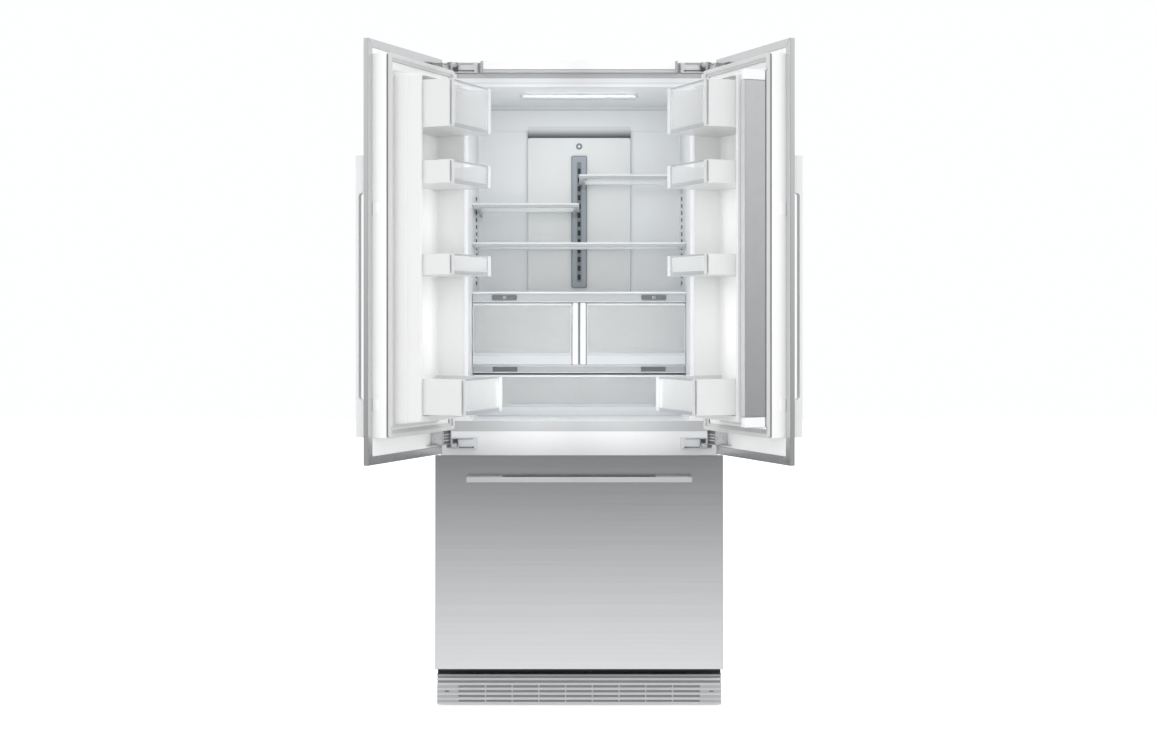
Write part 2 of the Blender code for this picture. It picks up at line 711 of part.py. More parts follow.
def freezer_drawer():
    frame = empty("freezer_drawer_frame", (0, 0, 0), root)
    half = overall_width / 2
    panel = box("freezer_panel", (-half, half), (0, panel_depth), (drawer_bottom, drawer_top), "steel",
                frame)
    cut(panel, box("freezer_recess", (-half + panel_flange, half - panel_flange), (panel_skin, 0.1),
                   (drawer_bottom + panel_flange, drawer_top - panel_flange)))
    inner = box("freezer_door_inner", (-freezer_body_half, freezer_body_half),
                (panel_depth + gap, freezer_body_depth),
                (freezer_body_bottom, freezer_body_top), "white", frame)
    backing = box("freezer_backing", (-half + panel_flange + gap, half - panel_flange - gap),
                  (panel_skin + gap, panel_depth + 0.01),
                  (drawer_bottom + panel_flange + gap, drawer_top - panel_flange - gap))
    join(inner, backing)
    inset = 0.001
    seal = box("freezer_gasket", (-freezer_body_half + inset, freezer_body_half - inset),
               (freezer_body_depth + gap, flange_front - gap),
               (freezer_body_bottom + inset, freezer_body_top - inset), "seal", frame)
    hole_half = freezer_half - 0.001
    cut(seal, box("freezer_seal_hole", (-hole_half + 0.02, hole_half - 0.02), (0, 0.2),
                  (freezer_body_bottom + 0.020, freezer_body_top - 0.020)))
    handle_frame = empty("freezer_handle_frame", (0, 0, 0), frame)
    bar_handle("freezer_handle", -drawer_handle_length / 2, drawer_handle_length, drawer_handle_z,
               handle_frame, False)
    basket = box("freezer_basket", (-basket_half, basket_half), (freezer_body_depth + gap, basket_back),
                 (basket_floor, basket_top), "white", frame)
    lower_back = machine_room_front - shell_wall - 0.010
    step = box("basket_step", (-0.5, 0.5), (lower_back, 0.7), (0, basket_bottom))
    room_front = box("basket_room", (-basket_half + drawer_wall, basket_half - drawer_wall),
                     (freezer_body_depth + gap + drawer_wall, lower_back - drawer_wall),
                     (basket_floor + drawer_wall, basket_top + 0.1))
    room_back = box("basket_room_back", (-basket_half + drawer_wall, basket_half - drawer_wall),
                    (lower_back - 0.02, basket_back - drawer_wall),
                    (basket_bottom + drawer_wall, basket_top + 0.1))
    cut(basket, step, room_front, room_back)
    rail_z = basket_top - rail_drop
    for side, name in ((-1, "left_rail"), (1, "right_rail")):
        runner = box("runner", mirrored(side, basket_half - 0.001, basket_half + rail_depth),
                     (freezer_body_depth + gap, basket_back), (rail_z, rail_z + rail_height))
        join(basket, runner)
        box(name, mirrored(side, basket_half + gap + rail_depth, freezer_half - gap),
            (flange_front + 0.010, freezer_back - 0.010), (rail_z - 0.004, rail_z + rail_height + 0.004),
            "satin", root)
    tray_frame = empty("freezer_tray_frame", (0, tray_front, 0), frame)
    open_drawer("freezer_tray", (-basket_half - 0.010, basket_half + 0.010), (0, tray_length),
                (basket_top + gap, tray_top), "clear", tray_frame)


def base():
    for side, name in ((-1, "left_foot"), (1, "right_foot")):
        foot = prism(name, disc((side * foot_x, foot_y), foot_radius), 0, 0.012, "z", "dark", root)
        stem = prism("foot_stem", disc((side * foot_x, foot_y), 0.006, 12), 0.006, plinth_height - gap)
        nut = prism("foot_nut", disc((side * foot_x, foot_y), 0.012, 6), 0.080, plinth_height - gap)
        join(foot, stem, nut)
    frame = empty("roller_frame", (0, roller_y, roller_radius), root)
    reach = foot_x + hanger_outer + 0.010
    axle = prism("rear_rollers", disc((0, 0), axle_radius), -reach, reach, "x", "dark", frame)
    for side in (-1, 1):
        middle = foot_x + (hanger_inner + hanger_wall + hanger_outer) / 2 - 0.002
        x = mirrored(side, middle - roller_width / 2, middle + roller_width / 2)
        join(axle, prism("roller", disc((0, 0), roller_radius, 24), x[0], x[1], "x"))


def centre_on_floor():
    """Moves the root so that the box of all solids has its bottom centre at the origin."""
    bpy.context.view_layer.update()
    graph = bpy.context.evaluated_depsgraph_get()
    low = Vector((1e9, 1e9, 1e9))
    high = -low
    for item in scene.objects:
        if item.type != "MESH" or item.hide_render:
            continue
        seen = item.evaluated_get(graph)
        mesh = seen.to_mesh()
        for vertex in mesh.vertices:
            place = seen.matrix_world @ vertex.co
            low = Vector(map(min, low, place))
            high = Vector(map(max, high, place))
        seen.to_mesh_clear()
    root.location = (-(low.x + high.x) / 2, -(low.y + high.y) / 2, -low.z)


cabinet()
liners()
header()
toe_grille()
machine_parts()
air_duct()
shelves()
chilled_drawers()
hinges()
door(-1, "left")
door(1, "right")
freezer_drawer()
base()
centre_on_floor()
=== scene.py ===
import json
from math import radians

import bpy
import numpy as np
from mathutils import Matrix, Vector


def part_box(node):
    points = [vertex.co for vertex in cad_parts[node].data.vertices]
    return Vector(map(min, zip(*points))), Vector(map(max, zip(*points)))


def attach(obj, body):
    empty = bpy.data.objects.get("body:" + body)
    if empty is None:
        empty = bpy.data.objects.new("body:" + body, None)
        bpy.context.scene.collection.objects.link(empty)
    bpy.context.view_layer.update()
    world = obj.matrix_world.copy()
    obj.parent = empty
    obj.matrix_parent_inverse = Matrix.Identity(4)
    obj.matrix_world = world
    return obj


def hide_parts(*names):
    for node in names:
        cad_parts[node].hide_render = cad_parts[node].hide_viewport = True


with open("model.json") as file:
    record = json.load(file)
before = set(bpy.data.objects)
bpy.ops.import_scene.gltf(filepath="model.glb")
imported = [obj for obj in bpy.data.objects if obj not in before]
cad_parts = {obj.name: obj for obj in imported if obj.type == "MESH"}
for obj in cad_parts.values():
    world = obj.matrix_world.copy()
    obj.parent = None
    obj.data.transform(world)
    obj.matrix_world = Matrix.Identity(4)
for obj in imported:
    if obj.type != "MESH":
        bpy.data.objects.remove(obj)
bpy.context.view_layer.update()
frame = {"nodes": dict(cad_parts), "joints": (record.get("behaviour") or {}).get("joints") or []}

nodes = frame["nodes"]
joints = {joint["name"]: joint for joint in frame["joints"]}
print("frame loaded:", len(nodes), "nodes")


gap = 0.0003  # air left between pieces that meet
# a point (a, b) of a section and its height h, laid along an axis; each choice keeps the handedness
layouts = {"z": (0, 1, 2), "x": (2, 0, 1), "y": (1, 2, 0)}


def laid(a, b, h, axis):
    # "-y" looks from the front: a is X, b is Z and the height comes towards the viewer
    if axis == "-y":
        return np.stack([a, -h, b], -1)
    order = layouts[axis]
    return np.stack([a, b, h], -1)[..., list(order)]


def levelled(flat, height):
    # a flat outline at one height
    return np.column_stack([flat, np.full(len(flat), height)])


def ring(low, high, radius, height, steps=4):
    # rounded rectangle: four corner centres, each plus its radius along a quarter turn
    low, high = np.array(low, float), np.array(high, float)
    radius = min(radius, *(0.4999 * (high - low)))
    turn = np.radians(np.arange(4)[:, None] * 90 + np.linspace(0, 90, steps + 1)[None])
    corner = np.array([(1, 1), (-1, 1), (-1, -1), (1, -1)], float)
    centre = (low + high) / 2 + corner * ((high - low) / 2 - radius)
    points = centre[:, None] + radius * np.stack([np.cos(turn), np.sin(turn)], -1)
    return levelled(points.reshape(-1, 2), height)


def skin(rings, axis="z", wrap=False):
    # surface over a row of sections with equal counts: quads between them, and a flat cap at each end
    # unless the last section joins the first
    grid = np.array(rings)
    rows, count = grid.shape[:2]
    points = laid(grid[..., 0], grid[..., 1], grid[..., 2], axis).reshape(-1, 3)
    row = np.arange(rows if wrap else rows - 1)[:, None]
    column = np.arange(count)[None]
    nextRow, nextColumn = (row + 1) % rows, (column + 1) % count
    quads = np.stack(np.broadcast_arrays(row * count + column, row * count + nextColumn,
        nextRow * count + nextColumn, nextRow * count + column), -1)
    faces = quads.reshape(-1, 4).tolist()
    if not wrap:
        faces += [list(range(count))[::-1], list(range((rows - 1) * count, rows * count))]
    return points, faces


def rounded(points, radius, steps=3):
    # each corner of a closed outline becomes a curve: both sides are cut short and a quadratic arc joins them
    p = np.array(points, float)
    toBefore, toAfter = np.roll(p, 1, 0) - p, np.roll(p, -1, 0) - p
    lengths = [np.linalg.norm(side, axis=1, keepdims=True) + 1e-12 for side in (toBefore, toAfter)]
    start = p + toBefore / lengths[0] * np.minimum(radius, 0.45 * lengths[0])
    end = p + toAfter / lengths[1] * np.minimum(radius, 0.45 * lengths[1])
    t = np.linspace(0, 1, steps + 1)[None, :, None]
    curve = (1 - t) ** 2 * start[:, None] + 2 * t * (1 - t) * p[:, None] + t ** 2 * end[:, None]
    return curve.reshape(-1, 2)


def loft(low, high, profile, radius=0.002, axis="z", wrap=False, steps=4):
    # a rounded rectangle repeated at each (inset, height) of the profile
    low, high = np.array(low, float), np.array(high, float)
    rings = []
    for inset, height in profile:
        rings.append(ring(low + inset, high - inset, max(radius - inset, 0.0002), height, steps))
    return skin(rings, axis, wrap)


def block(low, high, edge=0.0015, axis="z", radius=None):
    # box with eased edges: two sections drawn in at each end
    order = {"z": (0, 1, 2), "x": (1, 2, 0), "y": (2, 0, 1)}[axis]
    lo, hi = [[corner[i] for i in order] for corner in (low, high)]
    edge = min(edge, *(0.45 * (np.array(hi) - np.array(lo))))
    ends = [(edge, lo[2]), (edge * 0.3, lo[2] + edge * 0.3), (0, lo[2] + edge), (0, hi[2] - edge),
        (edge * 0.3, hi[2] - edge * 0.3), (edge, hi[2])]
    return loft(lo[:2], hi[:2], ends, edge if radius is None else radius, axis, steps=3)


def prism(outline, low, high, axis="z"):
    # an outline drawn along an axis, with caps; one that runs clockwise is turned round first
    outline = np.array(outline, float)
    across, up = outline.T
    if np.dot(across, np.roll(up, -1)) < np.dot(up, np.roll(across, -1)):
        outline = outline[::-1]
    return skin([levelled(outline, height) for height in (low, high)], axis)


def turned(centre, profile, axis="z", count=32):
    # circles of the profile's (radius, height) about a centre, with caps
    turn = np.linspace(0, 2 * np.pi, count, endpoint=False)
    circle = np.column_stack([np.cos(turn), np.sin(turn)])
    return skin([levelled(np.array(centre) + max(r, 0.0001) * circle, height) for r, height in profile], axis)


def mirroredX(shape):
    points = shape[0] * np.array([-1, 1, 1])
    return points, [face[::-1] for face in shape[1]]


def rotatedZ(points, pivot, angle):
    # turn about an upright axis through the pivot
    c, s = np.cos(angle), np.sin(angle)
    x, y = points[:, 0] - pivot[0], points[:, 1] - pivot[1]
    return np.column_stack([pivot[0] + c * x - s * y, pivot[1] + s * x + c * y, points[:, 2]])


class Shapes(list):
    # the (finish, shape) pairs that make up one piece
    def block(self, key, *values):
        self.append((key, block(*values)))

    def prism(self, key, *values):
        self.append((key, prism(*values)))

    def turned(self, key, *values):
        self.append((key, turned(*values)))

    def loft(self, key, *values, **more):
        self.append((key, loft(*values, **more)))


edges = {"crease": 35, "bevelFrom": 40, "bevelSteps": 2}


def piece(name, parts, body, slot, replaced=(), bevel=0.0, change=None):
    # parts are (finish, shape) pairs; all are joined into one mesh object that stays at the origin
    points, faces, slots, materialsUsed, offset = [], [], [], [], 0
    for key, (vertices, polygons) in parts:
        if key not in materialsUsed:
            materialsUsed.append(key)
        points.append(vertices)
        faces += [[i + offset for i in face] for face in polygons]
        slots += [materialsUsed.index(key)] * len(polygons)
        offset += len(vertices)
    points = np.concatenate(points)
    if change:
        points = change(points)
    mesh = bpy.data.meshes.new(name)
    mesh.from_pydata(points.tolist(), [], faces)
    mesh.polygons.foreach_set("material_index", slots)
    for key in materialsUsed:
        mesh.materials.append(finish(key))
    made = bpy.data.objects.new(name, mesh)
    bpy.context.scene.collection.objects.link(made)
    mesh.shade_smooth()
    mesh.set_sharp_from_angle(angle=radians(edges["crease"]))
    if bevel:
        edge = made.modifiers.new("easedEdges", "BEVEL")
        edge.width = bevel
        edge.segments = edges["bevelSteps"]
        edge.limit_method = "ANGLE"
        edge.angle_limit = radians(edges["bevelFrom"])
    even = made.modifiers.new("evenNormals", "WEIGHTED_NORMAL")
    even.keep_sharp = True
    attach(made, body)
    if replaced:
        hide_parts(*replaced)
    return made


def nodeGroup(name, inputs, outputs):
    # an empty shader group: number sockets in with their values, and sockets out of the given kinds
    group = bpy.data.node_groups.new(name, "ShaderNodeTree")
    for socket, value in inputs.items():
        made = group.interface.new_socket(socket, in_out="INPUT", socket_type="NodeSocketFloat")
        made.default_value = value
    for socket, kind in outputs.items():
        group.interface.new_socket(socket, in_out="OUTPUT", socket_type=kind)
    return group, group.nodes.new("NodeGroupInput"), group.nodes.new("NodeGroupOutput")


def addNode(tree, kind, values=None, **settings):
    # values are numbers for the node's sockets, or the outputs of other nodes that are linked to them
    made = tree.nodes.new(kind)
    for key, value in settings.items():
        setattr(made, key, value)
    for key, value in (values or {}).items():
        if isinstance(value, bpy.types.NodeSocket):
            tree.links.new(value, made.inputs[key])
        else:
            made.inputs[key].default_value = value
    return made


def mathNode(tree, operation, *values):
    # values in the order of the node's sockets
    return addNode(tree, "ShaderNodeMath", dict(enumerate(values)), operation=operation).outputs[0]


def objectPlace(tree):
    return addNode(tree, "ShaderNodeTexCoord").outputs["Object"]


def makeGrain():
    # brushed metal: noise drawn out along one axis, as a tone around 1 and as a height
    group, given, result = nodeGroup("brushedGrain", {"AlongX": 1.0, "AlongY": 1.0, "AlongZ": 1.0,
        "Strength": 0.1}, {"Tone": "NodeSocketFloat", "Height": "NodeSocketFloat"})
    stretch = addNode(group, "ShaderNodeCombineXYZ", {axis: given.outputs["Along" + axis] for axis in "XYZ"})
    place = addNode(group, "ShaderNodeVectorMath", {0: objectPlace(group), 1: stretch.outputs[0]},
        operation="MULTIPLY").outputs[0]
    fine = addNode(group, "ShaderNodeTexNoise", {"Vector": place, "Scale": 1.0, "Detail": 4.0,
        "Roughness": 0.7})
    broad = addNode(group, "ShaderNodeTexNoise", {"Vector": place, "Scale": 0.12, "Detail": 2.0})
    both = mathNode(group, "ADD", fine.outputs["Fac"], broad.outputs["Fac"])
    tone = mathNode(group, "MULTIPLY_ADD", mathNode(group, "SUBTRACT", both, 1.0), given.outputs["Strength"],
        1.0)
    group.links.new(tone, result.inputs["Tone"])
    group.links.new(fine.outputs["Fac"], result.inputs["Height"])
    return group


def makeSmudge():
    # handling marks: slow cloudy noise as a tone around 1
    group, given, result = nodeGroup("handlingMarks", {"Size": 4.0, "Strength": 0.1},
        {"Tone": "NodeSocketFloat"})
    cloud = addNode(group, "ShaderNodeTexNoise", {"Vector": objectPlace(group),
        "Scale": given.outputs["Size"], "Detail": 5.0, "Roughness": 0.62, "Distortion": 0.6})
    centred = mathNode(group, "SUBTRACT", cloud.outputs["Fac"], 0.5)
    tone = mathNode(group, "MULTIPLY_ADD", centred, given.outputs["Strength"], 1.0)
    group.links.new(tone, result.inputs["Tone"])
    return group


def makePebble():
    # moulded plastic or sprayed paint: a fine even orange peel as a height
    group, given, result = nodeGroup("mouldedTexture", {"Size": 900.0}, {"Height": "NodeSocketFloat"})
    peel = addNode(group, "ShaderNodeTexNoise", {"Vector": objectPlace(group), "Scale": given.outputs["Size"],
        "Detail": 2.0, "Roughness": 0.5})
    group.links.new(peel.outputs["Fac"], result.inputs["Height"])
    return group


grainGroup, smudgeGroup, pebbleGroup = makeGrain(), makeSmudge(), makePebble()


def metal(colour, rough, grain, marks, streak, metallic=1.0):
    # grain is how fast the brushing varies along X, Y and Z, and streak how much it changes the tone
    return {"kind": "metal", "colour": colour, "rough": rough, "grain": grain, "marks": marks,
        "streak": streak, "metallic": metallic}


def plastic(colour, rough, coat, marks, peel, **more):
    # coat is the clear gloss on top, marks the handling marks and peel the height of the moulded texture
    return {"kind": "plastic", "colour": colour, "rough": rough, "coat": coat, "marks": marks, "peel": peel,
        **more}


def clear(colour, rough, alpha):
    return {"kind": "clear", "colour": colour, "rough": rough, "alpha": alpha}


finishes = {
    "stainless": metal((0.66, 0.665, 0.67), 0.17, (3, 900, 900), 0.05, 0.07),
    "stainlessDoor": metal((0.68, 0.685, 0.69), 0.27, (900, 900, 3), 0.05, 0.07),
    "satinBar": metal((0.84, 0.84, 0.845), 0.36, (500, 500, 8), 0.04, 0.05, 0.15),
    # the satin bar finish made darker for the drawer's handle: painted shade
    "satinBarShaded": metal((0.56, 0.56, 0.565), 0.36, (8, 500, 500), 0.04, 0.05, 0.3),
    "hingeSteel": metal((0.66, 0.67, 0.68), 0.26, (300, 40, 300), 0.06, 0.08),
    "darkSteel": metal((0.22, 0.225, 0.23), 0.34, (200, 200, 200), 0.08, 0.06),
    "copper": metal((0.72, 0.38, 0.22), 0.3, (60, 60, 60), 0.15, 0.08),
    "coilAluminium": metal((0.74, 0.75, 0.76), 0.36, (400, 30, 30), 0.06, 0.08),
    "casing": plastic((0.84, 0.845, 0.85), 0.42, 0.15, 0.04, 0.08),
    "doorWhite": plastic((0.91, 0.91, 0.91), 0.34, 0.25, 0.03, 0.04),
    # the door's own white made darker for the outside of the raised ring: painted shade
    "dykeShadedWhite": plastic((0.765, 0.765, 0.765), 0.34, 0.25, 0.03, 0.04),
    # the bins' white made darker for the front faces of their end caps: painted shade of the rounded corners
    "binEdgeShade": plastic((0.58, 0.585, 0.59), 0.32, 0.3, 0.03, 0.03),
    "binWhite": plastic((0.71, 0.715, 0.715), 0.32, 0.3, 0.03, 0.03),
    # grey for the liner's threshold below the mouth: painted shade on the white flange
    "sillShadeGrey": plastic((0.52, 0.53, 0.535), 0.4, 0.15, 0.03, 0.04),
    # the grille's metal made darker for the plate behind its slots: painted shade
    "grilleDeepShade": metal((0.3, 0.305, 0.31), 0.42, (4, 500, 500), 0.04, 0.05, 0.2),
    # the grille's metal a little darker for its end plates and top bar: painted shade
    "grilleHalfShade": metal((0.48, 0.485, 0.49), 0.4, (4, 500, 500), 0.04, 0.05, 0.2),
    "linerWhite": plastic((0.85, 0.865, 0.88), 0.36, 0.2, 0.03, 0.04),
    "shelfWhite": plastic((0.86, 0.87, 0.88), 0.32, 0.3, 0.03, 0.03),
    "headerWhite": plastic((0.88, 0.88, 0.88), 0.38, 0.2, 0.03, 0.05),
    "plateGrey": plastic((0.68, 0.685, 0.69), 0.38, 0.1, 0.04, 0.03),
    "headerGrey": plastic((0.42, 0.425, 0.43), 0.4, 0.1, 0.04, 0.06),
    "shelfTrim": plastic((0.74, 0.76, 0.775), 0.22, 0.4, 0.03, 0.02),
    "tubTrim": plastic((0.62, 0.645, 0.665), 0.28, 0.4, 0.04, 0.03),
    "channelGrey": plastic((0.5, 0.52, 0.54), 0.34, 0.2, 0.04, 0.04),
    "sliderDark": plastic((0.16, 0.17, 0.18), 0.36, 0.2, 0.05, 0.05),
    # grey of the air return, with painted shade that fades up from dark at its foot
    "returnShadeGrey": plastic((0.8, 0.82, 0.835), 0.45, 0.1, 0.04, 0.06, fade=(1.848, 1.884, 0.12, 0.95)),
    # grey for lines in corners and steps and under the header: painted shade
    "creaseShadeGrey": plastic((0.52, 0.53, 0.54), 0.42, 0.1, 0.04, 0.05),
    "basketWhite": plastic((0.84, 0.86, 0.875), 0.34, 0.2, 0.03, 0.05),
    "frameGrey": plastic((0.36, 0.375, 0.39), 0.34, 0.2, 0.03, 0.03),
    # near black for the seal's foot: painted shadow between the door and the seal
    "sealGrooveShade": plastic((0.2, 0.2, 0.205), 0.6, 0.0, 0.06, 0.1),
    "columnEdge": plastic((0.22, 0.245, 0.27), 0.34, 0.2, 0.04, 0.03),
    "trimGrey": plastic((0.45, 0.47, 0.49), 0.36, 0.15, 0.04, 0.05),
    "ductGrey": plastic((0.8, 0.81, 0.81), 0.38, 0.15, 0.03, 0.05),
    "columnGrey": plastic((0.38, 0.42, 0.46), 0.3, 0.3, 0.04, 0.03),
    "gasket": plastic((0.62, 0.62, 0.62), 0.62, 0.0, 0.06, 0.12),
    "mullionGrey": plastic((0.56, 0.57, 0.575), 0.34, 0.3, 0.05, 0.05),
    "darkPlastic": plastic((0.03, 0.032, 0.035), 0.45, 0.1, 0.08, 0.1),
    "blackPaint": plastic((0.018, 0.018, 0.02), 0.35, 0.4, 0.08, 0.12),
    "grilleGrey": metal((0.66, 0.665, 0.67), 0.38, (4, 500, 500), 0.04, 0.05, 0.25),
    "clear": clear((0.95, 0.97, 0.975), 0.04, 0.22),
    "clearEdge": clear((0.86, 0.9, 0.92), 0.08, 0.5),
    "glass": clear((0.88, 0.95, 0.94), 0.02, 0.25),
    "frosted": clear((0.9, 0.93, 0.95), 0.35, 0.55),
    "lamp": {"kind": "lamp", "colour": (1.0, 1.0, 1.0), "rough": 0.3, "glow": 3.0},
    "floor": plastic((0.93, 0.93, 0.93), 0.6, 0.0, 0.01, 0.0, lift=0.45),
}
# what all finishes share
surface = {"marksSize": 5.0, "marks": 0.03, "coatRough": 0.15, "ior": 1.45, "grainBump": 0.06,
    "grainDepth": 0.0004, "peelDepth": 0.0005}
madeFinishes = {}


def toned(tree, colour, tones):
    # colour times each tone that varies over the surface
    for tone in tones:
        colour = addNode(tree, "ShaderNodeVectorMath", {0: colour, 1: tone}, operation="MULTIPLY").outputs[0]
    return colour


def fadeTone(tree, lowZ, highZ, lowTone, highTone):
    # tone that runs evenly from one height to another, for painted shade that darkens towards the foot of a
    # recess
    parts = addNode(tree, "ShaderNodeSeparateXYZ", {0: objectPlace(tree)})
    shade = addNode(tree, "ShaderNodeMapRange", {"Value": parts.outputs["Z"], "From Min": lowZ,
        "From Max": highZ, "To Min": lowTone, "To Max": highTone}, interpolation_type="SMOOTHSTEP")
    return shade.outputs["Result"]


def finish(key):
    # the material of a finish, made when it is first asked for
    if key in madeFinishes:
        return madeFinishes[key]
    look = finishes[key]
    colour, rough = look["colour"], look["rough"]
    made = madeFinishes[key] = bpy.data.materials.new(key)
    made.use_nodes = True
    tree = made.node_tree
    shader = tree.nodes["Principled BSDF"]
    plain = {"Base Color": (*colour, 1), "Roughness": rough}
    marks = addNode(tree, "ShaderNodeGroup", node_tree=smudgeGroup)
    marks.inputs["Size"].default_value = surface["marksSize"]
    marks.inputs["Strength"].default_value = look.get("marks", surface["marks"])
    worn = {"Roughness": mathNode(tree, "MULTIPLY", marks.outputs["Tone"], rough)}
    tones = [marks.outputs["Tone"]]
    if look["kind"] == "metal":
        plain["Metallic"] = look["metallic"]
        grain = addNode(tree, "ShaderNodeGroup", node_tree=grainGroup)
        for axis, value in zip("XYZ", look["grain"]):
            grain.inputs["Along" + axis].default_value = value
        grain.inputs["Strength"].default_value = look["streak"]
        tones = [grain.outputs["Tone"]]
        relief = (grain, surface["grainBump"], surface["grainDepth"])
    elif look["kind"] == "plastic":
        plain.update({"Coat Weight": look["coat"], "Coat Roughness": surface["coatRough"]})
        if "fade" in look:
            tones.append(fadeTone(tree, *look["fade"]))
        relief = (addNode(tree, "ShaderNodeGroup", node_tree=pebbleGroup), look["peel"], surface["peelDepth"])
    elif look["kind"] == "clear":
        plain.update({"IOR": surface["ior"], "Alpha": look["alpha"]})
        relief = None
    else:
        plain.update({"Emission Color": (*colour, 1), "Emission Strength": look["glow"]})
        tones = relief = None
    if tones:
        worn["Base Color"] = toned(tree, colour, tones)
    if relief:
        source, strength, depth = relief
        worn["Normal"] = addNode(tree, "ShaderNodeBump", {"Height": source.outputs["Height"],
            "Strength": strength, "Distance": depth}).outputs[0]
    for socket, value in plain.items():
        shader.inputs[socket].default_value = value
    for socket, output in worn.items():
        tree.links.new(output, shader.inputs[socket])
    return made


def keepNode(key, *names):
    # a CAD node that is shown as it is gets its finish
    for name in names:
        slots = nodes[name].data.materials
        if len(slots):
            slots[0] = finish(key)
        else:
            slots.append(finish(key))


sides = {"left": -1, "right": 1}
hinge = {hand: joints[hand + "_door_hinge"] for hand in sides}


def turnOf(joint, value):
    # signed turn about +Z for a joint value in degrees
    return radians(value) * joint["axis"][2]


def verticesOf(node):
    # every corner of a frame node's mesh
    mesh = nodes[node].data
    points = np.empty(len(mesh.vertices) * 3, np.float32)
    mesh.vertices.foreach_get("co", points)
    return points.reshape(-1, 3)


def shutBox(node, hand):
    # the box of a node on a door, with that door turned shut
    joint = hinge[hand]
    shut = rotatedZ(verticesOf(node), joint["pos_m"], turnOf(joint, joint["range_deg"][0]))
    return shut.min(0), shut.max(0)


def opened(hand):
    # maps a piece drawn for the shut left door to the open door of either hand
    joint = hinge[hand]
    turn = -turnOf(joint, joint["range_deg"][0])

    def change(points):
        return rotatedZ(points, joint["pos_m"], turn)
    return change


def doorPiece(name, hand, parts, body, slot, replaced=(), **more):
    # parts are drawn for the shut left door; the right door's are mirrored first
    if hand == "right":
        parts = [(key, mirroredX(shape)) for key, shape in parts]
    return piece(name, parts, body, slot, replaced, change=opened(hand), **more)


def leftShut(node, hand):
    # the shut box as if the node were on the left door
    low, high = shutBox(node, hand)
    if hand == "right":
        low[0], high[0] = -high[0], -low[0]
    return low, high


panel = {"edge": 0.0016, "flange": 0.025, "seam": 0.0009, "tabWide": 0.016, "tabTall": 0.036,
    "tabProud": 0.0024, "tabLevels": (0.955, 1.525)}


def steelTray(low, high):
    # folded tray seen in section: front skin, sides, flange round the back and its lip
    depth = high[1] - low[1]
    e = panel["edge"]
    profile = [(e, 0), (e * 0.3, e * 0.3), (0, e), (0, depth - e), (e * 0.3, depth - e * 0.3), (e, depth),
        (panel["flange"] - 0.0006, depth), (panel["flange"] - 0.0002, depth - 0.0006),
        (panel["flange"] - 0.0002, 0.0022)]
    profile = [(inset, low[1] + height) for inset, height in profile]
    return loft((low[2], low[0]), (high[2], high[0]), profile, 0.0022, "y")


def mitreSeams(low, high):
    # hairline where the flange's folds meet at each corner
    shapes = []
    reach, half, y = panel["flange"] - 0.002, panel["seam"] / 2, high[1]
    for cornerX, dx in ((low[0], 1), (high[0], -1)):
        for cornerZ, dz in ((low[2], 1), (high[2], -1)):
            a = np.array([cornerX + dx * 0.0015, cornerZ + dz * 0.0015])
            b = np.array([cornerX + dx * reach, cornerZ + dz * reach])
            across = np.array([-(b - a)[1], (b - a)[0]]) / np.linalg.norm(b - a) * half
            flat = np.array([a + across, a - across, b - across, b + across])
            shapes.append(prism(flat[:, ::-1], y - 0.0006, y + 0.00004, "y"))
    return shapes


def doorPanels():
    # each door's steel tray and its bar handle
    for hand in sides:
        low, high = leftShut(hand + "_door_panel", hand)
        parts = [("stainlessDoor", steelTray(low, high))]
        parts += [("darkSteel", seam) for seam in mitreSeams(low, high)]
        doorPiece(hand + "PanelTray", hand, parts, hand + "_door", "stainless", [hand + "_door_panel"])
        handleLow, handleHigh = leftShut(hand + "_door_handle", hand)
        doorPiece(hand + "BarHandle", hand, handleParts(handleLow, handleHigh, "z"), hand + "_door",
            "handle_satin", [hand + "_door_handle"], bevel=handle["bevel"])


handle = {"bar": 0.01, "post": 0.11, "blend": 0.006, "bevel": 0.0012}


def handleParts(low, high, along):
    # the bar's outline from the side, with its two long end blocks, drawn across its width
    y0, y1 = low[1], high[1]
    start, end = (low[2], high[2]) if along == "z" else (low[0], high[0])
    back = y0 + handle["bar"]
    p, k = handle["post"], handle["blend"]
    outline = [(start, y0), (end, y0), (end, y1), (end - p, y1), (end - p, back + k), (end - p - k, back),
        (start + p + k, back), (start + p, back + k), (start + p, y1), (start, y1)]
    if along == "z":
        return [("satinBar", prism(np.array(outline)[:, ::-1], low[0], high[0], "x"))]
    # the drawer's bar takes the darker copy of the satin finish, as painted shade
    return [("satinBarShaded", prism(outline, low[2], high[2]))]


inner = {"dykeWall": 0.014, "dykeDeep": 0.139, "dykeSide": 0.007, "dykeFoot": 0.039, "dykeHead": 0.054,
    "backing": 0.012}


